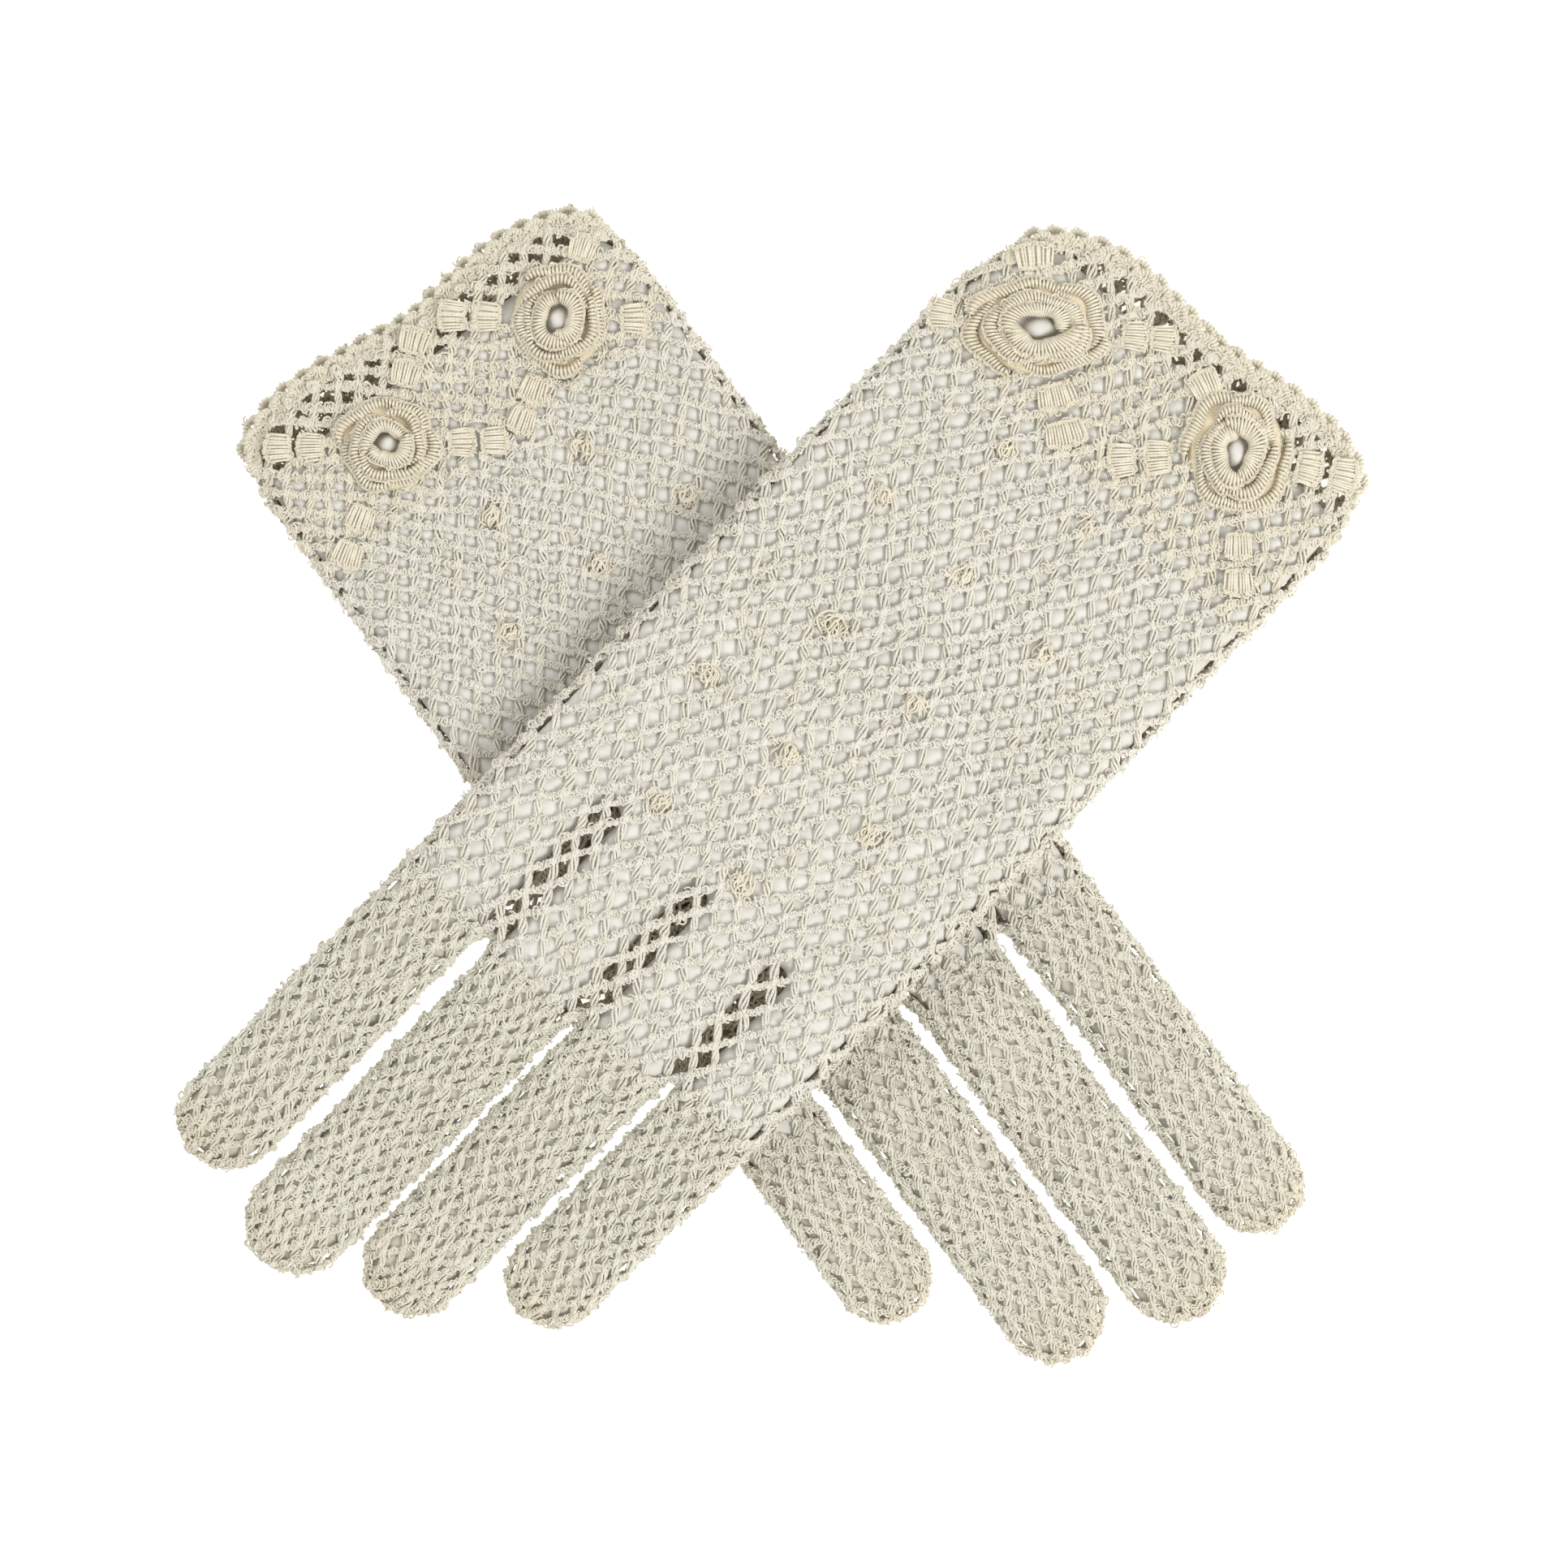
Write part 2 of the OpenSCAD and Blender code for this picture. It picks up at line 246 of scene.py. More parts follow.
class Field:
    """A group of CAD nodes seen in plan: its lower and upper height, and depth inside its outline."""

    def __init__(self, nodes, margin=7.0):
        verts, tris, start = [], [], 0
        for name in nodes:
            v, t = node_mesh(name)
            verts.append(v)
            tris.append(t + start)
            start += len(v)
        verts = np.concatenate(verts)
        tree = BVHTree.FromPolygons(verts.tolist(), np.concatenate(tris).tolist())
        lo = np.floor(verts.min(0)[:2] - margin) + 0.013
        hi = verts.max(0)[:2] + margin
        self.origin = lo
        nx, ny = (np.ceil((hi - lo) / GRID_PITCH).astype(int) + 1)
        top = np.zeros((ny, nx))
        low = np.zeros((ny, nx))
        mask = np.zeros((ny, nx), bool)
        up, down = (0.0, 0.0, 1.0), (0.0, 0.0, -1.0)
        for iy in range(ny):
            y = lo[1] + iy * GRID_PITCH
            for ix in range(nx):
                x = lo[0] + ix * GRID_PITCH
                hit = tree.ray_cast((x, y, 500.0), down)[0]
                if hit is not None:
                    under = tree.ray_cast((x, y, -500.0), up)[0]
                    mask[iy, ix] = under is not None
                    top[iy, ix] = hit.z
                    low[iy, ix] = under.z if under is not None else hit.z
        filled = closed_up(mask)
        self.top = blurred(spread(top, mask, 14), 3)
        self.low = blurred(spread(low, mask, 14), 3)
        self.depth = self.signed_depth(filled)
        self.share = np.clip(self.depth / EDGE_ROUND, 0, 1)

    def open_mouth(self, side, least=0.4):
        """Keeps front and back apart along the mouth, where the edge faces away from the fingers."""
        ny, nx = self.depth.shape
        xs, ys = np.meshgrid(np.arange(nx), np.arange(ny))
        xy = np.stack([xs, ys], -1) * GRID_PITCH + self.origin
        c, s = turned(side)
        facing = self.inward(xy) @ np.array([c, s])
        openness = np.clip((facing - 0.3) / 0.4, 0, 1) * (to_plan(side, xy)[..., 0] < CUFF_LINE - 8)
        share = np.clip(self.depth / EDGE_ROUND, 0, 1)
        self.share = blurred(np.maximum(share, least * openness), 2)

    def signed_depth(self, mask):
        """Distance from the mask's edge, above 0 inside it."""
        edges = []
        ys, xs = np.nonzero(mask[:, 1:] != mask[:, :-1])
        edges.append(np.stack([xs + 0.5, ys + 0.0], 1))
        ys, xs = np.nonzero(mask[1:] != mask[:-1])
        edges.append(np.stack([xs + 0.0, ys + 0.5], 1))
        ys, xs = np.indices(mask.shape)
        places = np.stack([xs, ys], -1).reshape(-1, 2)
        far = nearest(np.concatenate(edges), places).reshape(mask.shape)
        return blurred(np.where(mask, far, -far) * GRID_PITCH, 2)

    def read(self, raster, xy):
        """A height map's value at plan points, between its own points in proportion."""
        p = (xy - self.origin) / GRID_PITCH
        ny, nx = raster.shape
        ix = np.clip(np.floor(p[..., 0]).astype(int), 0, nx - 2)
        iy = np.clip(np.floor(p[..., 1]).astype(int), 0, ny - 2)
        fx = np.clip(p[..., 0] - ix, 0, 1)
        fy = np.clip(p[..., 1] - iy, 0, 1)
        a = raster[iy, ix] * (1 - fx) + raster[iy, ix + 1] * fx
        b = raster[iy + 1, ix] * (1 - fx) + raster[iy + 1, ix + 1] * fx
        return a * (1 - fy) + b * fy

    def inside(self, xy):
        return self.read(self.depth, xy)

    def middle(self, xy):
        return (self.read(self.top, xy) + self.read(self.low, xy)) / 2

    def inward(self, xy):
        """Unit direction in plan towards the inside."""
        e = 0.5
        dx = self.inside(xy + (e, 0)) - self.inside(xy - (e, 0))
        dy = self.inside(xy + (0, e)) - self.inside(xy - (0, e))
        return unit(np.stack([dx, dy], -1))

    def height(self, xy, face, inset):
        """Height of the front (face 1) or back (face -1), inset from the solid and rounded at its edges."""
        top = self.read(self.top, xy)
        low = self.read(self.low, xy)
        share = np.clip(self.read(self.share, xy), 0, 1)
        return (top + low) / 2 + face * ((top - low) / 2 - inset) * np.sqrt(1 - (1 - share) ** 2)

    def normal(self, xy, face, inset):
        e = 0.45
        zx = self.height(xy + (e, 0), face, inset) - self.height(xy - (e, 0), face, inset)
        zy = self.height(xy + (0, e), face, inset) - self.height(xy - (0, e), face, inset)
        n = np.stack([-zx / (2 * e), -zy / (2 * e), np.ones_like(zx)], -1)
        return unit(n * face)

    def outlines(self):
        """Closed outlines in mm, by marching squares over the depth raster."""
        d = self.depth
        sign = d > 0
        cells = np.nonzero((sign[:-1, :-1] != sign[:-1, 1:]) | (sign[:-1, :-1] != sign[1:, :-1])
                           | (sign[1:, 1:] != sign[:-1, 1:]) | (sign[1:, 1:] != sign[1:, :-1]))
        place, links = {}, {}

        def crossing(y0, x0, y1, x1):
            a, b = d[y0, x0], d[y1, x1]
            key = (y0, x0, y1, x1)
            f = a / (a - b)
            place[key] = (x0 + f * (x1 - x0), y0 + f * (y1 - y0))
            return key

        for iy, ix in zip(*cells):
            ends = []
            for a, b in (((iy, ix), (iy, ix + 1)), ((iy, ix + 1), (iy + 1, ix + 1)),
                         ((iy + 1, ix), (iy + 1, ix + 1)), ((iy, ix), (iy + 1, ix))):
                if sign[a] != sign[b]:
                    ends.append(crossing(*a, *b))
            for p, q in zip(ends[::2], ends[1::2]):
                links.setdefault(p, []).append(q)
                links.setdefault(q, []).append(p)
        loops, seen = [], set()
        for first in links:
            if first in seen:
                continue
            loop, here = [], first
            while here is not None and here not in seen:
                seen.add(here)
                loop.append(place[here])
                here = next((n for n in links[here] if n not in seen), None)
            if len(loop) > 60:
                loops.append(np.array(loop) * GRID_PITCH + self.origin)
        return loops


def resampled(points, step, closed=True):
    """Points a fixed step apart along a line."""
    if closed:
        points = np.concatenate([points, points[:1]])
    gaps = np.linalg.norm(np.diff(points, axis=0), axis=1)
    run = np.concatenate([[0], np.cumsum(gaps)])
    count = max(3, int(round(run[-1] / step)))
    at = np.linspace(0, run[-1], count, endpoint=not closed)
    return np.stack([np.interp(at, run, points[:, k]) for k in range(points.shape[1])], 1)


def eased(points, times, closed=True):
    """A line with each point drawn towards its neighbours."""
    for _ in range(times):
        if closed:
            points = (np.roll(points, 1, 0) + 2 * points + np.roll(points, -1, 0)) / 4
        else:
            inner = (points[:-2] + 2 * points[1:-1] + points[2:]) / 4
            points = np.concatenate([points[:1], inner, points[-1:]])
    return points


# ---------------------------------------------------------------- thread
class Lace:
    """Gathers thread tubes, then turns them into one mesh piece."""

    def __init__(self):
        self.co, self.quads, self.caps = [], [], []
        self.uv, self.tone, self.warm = [], [], []
        self.count = 0

    def tubes(self, paths, radius, sides=5, tone=None, warm=0.0, flat=1.0, up=None):
        """paths is (threads, points, 3); flat squashes a tube along up."""
        paths = np.asarray(paths, float)
        m, k, _ = paths.shape
        if not m:
            return
        tangent = unit(np.gradient(paths, axis=1))
        if up is None:
            first = np.where(np.abs(tangent[:, :1, 2:]) < 0.8, [[[0.0, 0.0, 1.0]]], [[[1.0, 0.0, 0.0]]])
            side_on = np.empty_like(paths)
            previous = first[:, 0]
            for i in range(k):
                t = tangent[:, i]
                previous = unit(previous - np.sum(previous * t, -1, keepdims=True) * t)
                side_on[:, i] = previous
        else:
            side_on = unit(up - np.sum(up * tangent, -1, keepdims=True) * tangent)
        other = np.cross(tangent, side_on)
        angle = np.arange(sides) / sides * TAU
        radius = np.broadcast_to(np.asarray(radius, float), (m, k))
        ring = (side_on[:, :, None] * np.cos(angle)[:, None] * flat
                + other[:, :, None] * np.sin(angle)[:, None])
        co = paths[:, :, None] + ring * radius[:, :, None, None]
        index = np.arange(m * k * sides).reshape(m, k, sides) + self.count
        nxt = np.roll(index, -1, axis=2)
        quads = np.stack([index[:, :-1], nxt[:, :-1], nxt[:, 1:], index[:, 1:]], -1).reshape(-1, 4)
        length = np.linalg.norm(np.diff(paths, axis=1), axis=-1)
        run = np.concatenate([np.zeros((m, 1)), np.cumsum(length, 1)], 1)
        u0 = np.broadcast_to(np.arange(sides) / sides, (m, k - 1, sides))
        v0 = np.broadcast_to(run[:, :-1, None], (m, k - 1, sides))
        v1 = np.broadcast_to(run[:, 1:, None], (m, k - 1, sides))
        u1 = u0 + 1 / sides
        uv = np.stack([u0, v0, u1, v0, u1, v1, u0, v1], -1).reshape(-1, 4, 2)
        self.co.append(co.reshape(-1, 3))
        self.quads.append(quads)
        self.uv.append(uv)
        self.caps.append(index[:, 0, ::-1])
        self.caps.append(index[:, -1])
        tone = np.zeros(m) if tone is None else np.asarray(tone, float)
        self.tone.append(np.broadcast_to(tone.reshape(m, -1)[:, :1, None], (m, k, sides)).reshape(-1))
        warm = np.asarray(warm, float)
        if warm.ndim == 1:
            warm = warm[:, None]
        warm = np.broadcast_to(warm, (m, k))
        self.warm.append(np.broadcast_to(warm[:, :, None], (m, k, sides)).reshape(-1))
        self.count += m * k * sides

    def build(self, name, material):
        me = bpy.data.meshes.new(name)
        co = np.concatenate(self.co) * MM
        groups = [(np.concatenate(self.quads), np.concatenate(self.uv))]
        for cap in self.caps:
            groups.append((cap, np.zeros(cap.shape + (2,))))
        loops = np.concatenate([g[0].reshape(-1) for g in groups])
        totals = np.concatenate([np.full(len(g[0]), g[0].shape[1]) for g in groups])
        starts = np.concatenate([[0], np.cumsum(totals)[:-1]])
        me.vertices.add(len(co))
        me.vertices.foreach_set("co", co.reshape(-1))
        me.loops.add(len(loops))
        me.loops.foreach_set("vertex_index", loops.astype(np.int32))
        me.polygons.add(len(totals))
        me.polygons.foreach_set("loop_start", starts.astype(np.int32))
        me.polygons.foreach_set("use_smooth", np.ones(len(totals), bool))
        me.update(calc_edges=True)
        layer = me.uv_layers.new(name="Thread")
        layer.data.foreach_set("uv", np.concatenate([g[1].reshape(-1, 2) for g in groups]).reshape(-1))
        for label, values in (("tone", self.tone), ("warm", self.warm)):
            attribute = me.attributes.new(label, "FLOAT", "POINT")
            attribute.data.foreach_set("value", np.concatenate(values).astype(np.float32))
        me.validate()
        return add_object(name, me, material)


def braid(lace, path, normal, turns, rng, half_w, half_h, radius, sides, warm=0.0):
    """Three plaited strands along a path; turns is the plait's phase in whole stitches at each point."""
    tangent = unit(np.gradient(path, axis=0))
    across = unit(np.cross(normal, tangent))
    n = len(path)
    strands = []
    for k in range(3):
        phase = TAU * (turns + k / 3 + 0.05 * np.sin(turns * 2.9 + k))
        wide = half_w * (1 + 0.25 * np.sin(turns * 1.7 + rng.uniform(0, TAU)))
        lift = half_h * (1 + 0.25 * np.sin(turns * 2.3 + rng.uniform(0, TAU)))
        offset = across * (wide * np.sin(phase))[:, None] + normal * (lift * np.sin(2 * phase))[:, None]
        strands.append(path + offset + rng.normal(0, KINK, (n, 3)))
    thick = radius * (1 + 0.14 * np.sin(np.arange(n) * 0.9 + rng.uniform(0, TAU, (3, 1))))
    warm = np.broadcast_to(np.asarray(warm, float), (3, n))
    lace.tubes(np.array(strands), thick, sides, rng.uniform(-1, 1, 3), warm)


def curls(lace, path, normal, share, rng, radius, size, warm):
    """Little loops of slack thread standing along a row, at that many per point of its path."""
    count = int(round(len(path) * share))
    if count < 1 or len(path) < 4:
        return
    points = 6
    tangent = unit(np.gradient(path, axis=0))
    at = rng.integers(0, len(path), count)
    p, n, t = path[at], normal[at], tangent[at]
    across = unit(np.cross(n, t))
    start = rng.uniform(0, TAU, (count, 1))
    sweep = rng.choice([-1, 1], (count, 1)) * rng.uniform(0.8, 1.5, (count, 1)) * math.pi
    theta = start + sweep * np.linspace(0, 1, points)[None]
    a = rng.uniform(0.35, 0.75, (count, 1)) * size
    b = rng.uniform(0.2, 0.5, (count, 1)) * size
    drift = rng.normal(0, 0.3, (count, 1)) * np.linspace(-1, 1, points)[None]
    rise = rng.uniform(0.15, 0.55, (count, 1)) + 0.2 * np.sin(theta * 0.7 + start)
    shift = rng.normal(0, 0.2, (count, 1))
    loop = (p[:, None] + across[:, None] * (a * np.cos(theta) + shift)[..., None]
            + t[:, None] * (b * np.sin(theta) + drift)[..., None] + n[:, None] * rise[..., None])
    warm = np.asarray(warm, float)
    warm = warm[at] if warm.ndim else warm
    lace.tubes(loop, radius * rng.uniform(0.8, 1.2, (count, 1)), 4, rng.uniform(-1, 1, count), warm)


def posts(lace, foot, head, foot_n, head_n, rng, strands, points, reach, radius, sides, warm):
    """Twisted bundles of strands from each foot to each head."""
    m = len(foot)
    if not m:
        return
    t = np.linspace(0, 1, points)
    bow = rng.normal(0, 0.2, m)
    line = foot[:, None] * (1 - t)[None, :, None] + head[:, None] * t[None, :, None]
    normal = unit(foot_n[:, None] * (1 - t)[None, :, None] + head_n[:, None] * t[None, :, None])
    along = unit(head - foot)[:, None]
    across = unit(np.cross(normal, np.broadcast_to(along, normal.shape)))
    line = line + across * (bow[:, None] * np.sin(math.pi * t))[..., None]
    line = line + normal * (0.3 * np.sin(math.pi * t) - 0.3)[None, :, None]
    spin = rng.uniform(0, TAU, m)
    turn = rng.choice([-1.0, 1.0], m, p=[0.25, 0.75]) * rng.uniform(0.2, 0.6, m)
    size = reach * (0.5 + 0.5 * np.sin(math.pi * t)) ** 0.8
    size = size[None] * rng.uniform(0.8, 1.25, (m, 1))
    tone = rng.uniform(-1, 1, m)
    for k in range(strands):
        phase = spin[:, None] + TAU * (turn[:, None] * t[None] + k / strands)
        offset = across * (size * np.cos(phase))[..., None]
        offset = offset + normal * (0.75 * size * np.sin(phase))[..., None]
        lace.tubes(line + offset, radius * rng.uniform(0.85, 1.15, (m, 1)), sides, tone, warm)


def knots(lace, at, normal, along_post, along_row, rng, radius, reach, warm):
    """Two small loops over the chain where each post hooks into it."""
    m = len(at)
    if not m:
        return
    theta = np.radians(np.linspace(-15, 195, 7))
    size = rng.uniform(0.8, 1.2, (m, 1))
    for sidestep in (-0.27, 0.27):
        skew = rng.normal(0.22, 0.12, (m, 1))
        a = reach * size * np.cos(theta)[None]
        b = sidestep + skew * np.cos(theta)[None]
        c = 0.06 + 0.46 * size * np.sin(theta)[None]
        path = (at[:, None] + along_post[:, None] * a[..., None] + along_row[:, None] * b[..., None]
                + normal[:, None] * c[..., None])
        lace.tubes(path, radius * rng.uniform(0.85, 1.1, (m, 1)), 5, rng.uniform(-1, 1, m), warm)


def catmull(points, steps):
    """A smooth line through the points, and each new point's place counted in spans."""
    p = np.concatenate([2 * points[:1] - points[1:2], points, 2 * points[-1:] - points[-2:-1]])
    t = np.linspace(0, 1, steps, endpoint=False)[None, :, None]
    a, b, c, d = (p[i:len(p) - 3 + i][:, None] for i in range(4))
    bend = (2 * a - 5 * b + 4 * c - d) * t ** 2
    twist = (3 * b - a - 3 * c + d) * t ** 3
    curve = 0.5 * (2 * b + (c - a) * t + bend + twist)
    line = np.concatenate([curve.reshape(-1, points.shape[1]), points[-1:]])
    return line, np.arange(len(line)) / steps


# ---------------------------------------------------------------- the net
def ripple(xy, rng, size, wavelength):
    """A smooth random shift of plan points."""
    shift = np.zeros_like(xy)
    for _ in range(4):
        wave = direction(rng.uniform(0, 360)) * TAU / (wavelength * rng.uniform(0.7, 1.4))
        phase = rng.uniform(0, TAU)
        push = direction(rng.uniform(0, 360)) * size / 2
        shift = shift + np.sin(xy @ wave + phase)[..., None] * push
    return shift


def net_nodes(start, row_dir, post_dir, post_step, row_step, rows, posts_each_way, rng, jitter):
    """Crossing points of rows and posts: row_dir and post_dir give a direction at each plan point."""
    up = np.zeros((2 * rows + 1, 2))
    up[rows] = start
    for j in range(rows):
        up[rows + j + 1] = up[rows + j] + row_step * direction(post_dir(up[rows + j]))
        up[rows - j - 1] = up[rows - j] - row_step * direction(post_dir(up[rows - j]))
    n = posts_each_way
    grid = np.zeros((2 * rows + 1, 2 * n + 1, 2))
    grid[:, n] = up
    for i in range(n):
        grid[:, n + i + 1] = grid[:, n + i] + post_step * direction(row_dir(grid[:, n + i]))
        grid[:, n - i - 1] = grid[:, n - i] - post_step * direction(row_dir(grid[:, n - i]))
    grid = grid + ripple(grid, rng, 1.0, 55) + ripple(grid, rng, 0.45, 17)
    return grid + rng.normal(0, jitter, grid.shape)


def clamped(region, inner, outer):
    """Where the line from each inner point to each outer one leaves the region."""
    lo = np.zeros(len(inner))
    hi = np.ones(len(inner))
    for _ in range(7):
        mid = (lo + hi) / 2
        ok = region(inner + (outer - inner) * mid[:, None]) > 0
        lo = np.where(ok, mid, lo)
        hi = np.where(ok, hi, mid)
    return inner + (outer - inner) * lo[:, None]


def runs(flags):
    """(first, last) of each run of true values."""
    edges = np.flatnonzero(np.diff(np.concatenate([[0], flags.astype(int), [0]])))
    return [(a, b - 1) for a, b in zip(edges[::2], edges[1::2])]


def loose_end(region, node, beyond):
    """Where a thread from a node towards the next one leaves the region, and its share of the way there."""
    end = clamped(region, node[None], beyond[None])[0]
    return end, np.linalg.norm(end - node) / max(np.linalg.norm(beyond - node), 0.1)


def row_line(region, nodes, first, last):
    """A row from node first to node last and on to the region's edge, and each point's count of posts."""
    line = list(nodes[first:last + 1])
    counts = list(range(last - first + 1))
    if first > 0:
        end, share = loose_end(region, nodes[first], nodes[first - 1])
        line.insert(0, end)
        counts.insert(0, -share)
    if last < len(nodes) - 1:
        end, share = loose_end(region, nodes[last], nodes[last + 1])
        line.append(end)
        counts.append(last - first + share)
    return np.array(line), np.array(counts, float)


def on_face(field, xy, face, inset):
    """Plan points laid on a face, and the face's normals there."""
    return with_height(xy, field.height(xy, face, inset)), field.normal(xy, face, inset)


def chain_row(lace, field, line, counts, pull, face, rng, gauge, warmth):
    """One plaited row, sagging between its posts, with slack loops standing on it."""
    curve, spans = catmull(line, gauge["steps"])
    turns = np.interp(spans, np.arange(len(line)), counts)
    sag = gauge["sag"] * np.sin(math.pi * (turns % 1.0))
    curve = curve + pull * sag[:, None]
    path, normal = on_face(field, curve, face, gauge["inset"])
    path = path + normal * gauge["row_lift"]
    warm = warmth(curve)
    braid(lace, path, normal, turns * gauge["stitches"], rng, gauge["half_w"], gauge["half_h"],
          gauge["radius"], gauge["sides"], warm)
    curls(lace, path, normal, gauge["curls"] / gauge["steps"], rng, gauge["curl_radius"],
          gauge["curl_size"], warm)


def net_posts(lace, field, region, grid, inside, rowwise, face, rng, gauge, warmth):
    """Posts between neighbouring rows, cut off where they leave the region."""
    low, high = grid[:-1].reshape(-1, 2), grid[1:].reshape(-1, 2)
    a, b = inside[:-1].reshape(-1), inside[1:].reshape(-1)
    lean = rowwise.reshape(-1, 2) * rng.normal(0, 0.18, len(low))[:, None]
    both, foot_only, head_only = a & b, a & ~b, b & ~a
    cut_head = clamped(region, low[foot_only], high[foot_only])
    cut_foot = clamped(region, high[head_only], low[head_only])
    foot = np.concatenate([(low + lean)[both], low[foot_only], cut_foot])
    head = np.concatenate([(high - lean)[both], cut_head, high[head_only]])
    keep = np.linalg.norm(head - foot, axis=1) > 0.9
    foot, head = foot[keep], head[keep]
    foot_at, foot_normal = on_face(field, foot, face, gauge["inset"])
    head_at, head_normal = on_face(field, head, face, gauge["inset"])
    posts(lace, foot_at, head_at, foot_normal, head_normal, rng, gauge["strands"], gauge["post_points"],
          gauge["reach"], gauge["post_radius"], gauge["sides"], warmth((foot + head) / 2))


def no_age(xy):
    """Fresh thread all over."""
    return 0.0


def net(lace, field, region, grid, face, rng, gauge, warmth=no_age, last_row=True):
    """Chain rows and posts over one face, kept where region is above 0."""
    inside = region(grid) > 0
    pull = grid[:-1] - grid[1:]
    pull = unit(np.concatenate([pull[:1], pull]))
    for j in range(len(grid) if last_row else len(grid) - 1):
        for first, last in runs(inside[j]):
            line, counts = row_line(region, grid[j], first, last)
            if len(line) > 1:
                chain_row(lace, field, line, counts, pull[j, first], face, rng, gauge, warmth)
    rowwise = unit(np.roll(grid, -1, 1) - grid)[:-1]
    net_posts(lace, field, region, grid, inside, rowwise, face, rng, gauge, warmth)
    if gauge["knots"]:
        chosen = inside[:-1] & (region(grid[:-1]) > 0.35)
        at, normal = on_face(field, grid[:-1][chosen], face, gauge["inset"])
        along_post = unit((grid[1:] - grid[:-1])[chosen])
        knots(lace, at, normal, with_height(along_post, 0), with_height(rowwise[chosen], 0), rng,
              gauge["radius"], gauge["knot_reach"], warmth(at[:, :2]))


# how each kind of net is worked: points and stitches per span, then sizes of rows, posts, knots and loops
HAND_FRONT = {
    "steps": 18, "stitches": 3, "sag": 0.3, "half_w": 0.54, "half_h": 0.3, "row_lift": 0.25, "inset": 0.55,
    "radius": 0.25, "sides": 4, "strands": 5, "post_points": 6, "reach": 0.68, "post_radius": 0.28,
    "knots": True, "knot_reach": 1.0, "curls": 6.0, "curl_radius": 0.21, "curl_size": 1.6,
}
HAND_BACK = {
    **HAND_FRONT, "steps": 6, "stitches": 1, "half_w": 0.9, "row_lift": 0.0, "inset": 1.0, "radius": 0.45,
    "sides": 3, "strands": 2, "post_points": 4, "post_radius": 0.55, "reach": 0.75, "knots": False,
    "curls": 0.0,
}
FINGER_FRONT = {
    **HAND_FRONT, "steps": 12, "stitches": 2, "sag": 0.35, "row_lift": 0.1, "half_w": 0.56, "reach": 0.6,
    "knot_reach": 0.9, "curls": 4.5, "curl_size": 1.5,
}
FINGER_BACK = {**HAND_BACK, "half_w": 0.6, "reach": 0.45, "radius": 0.38, "post_radius": 0.42}
CUFF_FRONT = {**HAND_FRONT, "half_w": 0.65, "knot_reach": 1.15, "curls": 7.5, "curl_size": 1.8}


def share_y(side, y):
    """Which finger's share of the width each place across the hand lies in."""
    centres = GLOVES[side]["finger_y"]
    limits = [(a + b) / 2 for a, b in zip(centres, centres[1:])]
    return np.digitize(y, limits)


def hand_region(side, field):
    """Depth in mm inside the hand's own ground, from the cuff line to the knuckles."""
    knuckles = np.array(GLOVES[side]["knuckle"])

    def region(xy):
        p = to_plan(side, xy)
        line = knuckles[share_y(side, p[..., 1])]
        return np.minimum(np.minimum(field.inside(xy) - EDGE_MARGIN, line + 0.5 - p[..., 0]),
                          p[..., 0] - CUFF_LINE + 0.5)
    return region


def finger_region(side, field, finger):
    """Depth in mm inside one finger, from its knuckle to its tip."""
    start = GLOVES[side]["knuckle"][finger]

    def region(xy):
        p = to_plan(side, xy)
        mine = share_y(side, p[..., 1]) == finger
        return np.where(mine, np.minimum(field.inside(xy) - EDGE_MARGIN, p[..., 0] - start + 0.2), -1.0)
    return region


def cuff_region(side, field):
    """Depth in mm inside the cuff."""
    def region(xy):
        p = to_plan(side, xy)
        return np.minimum(field.inside(xy) - EDGE_MARGIN, CUFF_LINE + 0.3 - p[..., 0])
    return region


# ---------------------------------------------------------------- trimmings
def islands(name):
    """The separate solids of a CAD node, each as its points in mm."""
    co, tris = node_mesh(name)
    keys = np.round(co, 3)
    _, weld = np.unique(keys, axis=0, return_inverse=True)
    weld = weld.reshape(-1)
    label = np.arange(weld.max() + 1)
    t = weld[tris]
    while True:
        least = label[t].min(1)
        new = label.copy()
        for k in range(3):
            np.minimum.at(new, t[:, k], least)
        if (new == label).all():
            break
        label = new
    label = label[weld]
    return [co[label == v] for v in np.unique(label)]


def oval_of(name):
    """Centre, half sizes and height range of a CAD node, in mm."""
    lo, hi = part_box(name)
    lo, hi = np.array(lo) * 1000, np.array(hi) * 1000
    return (lo[:2] + hi[:2]) / 2, (hi[:2] - lo[:2]) / 2, lo[2], hi[2]


def fan_frames(side):
    """(foot, outward direction, length, half width, height) of each fan, which points away from its rose."""
    ovals = [oval_of(f"{side}_rose_{r}_outer_petals")[:2] for r in "ab"]
    found = []
    for points in islands(f"{side}_cuff_shells"):
        middle = points[:, :2].mean(0)
        rose, half = min(ovals, key=lambda oval: np.linalg.norm(middle - oval[0]))
        out = unit(middle - rose)
        wide = np.clip(0.29 * np.linalg.norm(half * out[::-1]), 2.7, 4.0)
        along = (points[:, :2] - rose) @ out
        foot = rose + out * along.min()
        found.append((foot, out, along.max() - along.min(), wide, points[:, 2].min()))
    return found


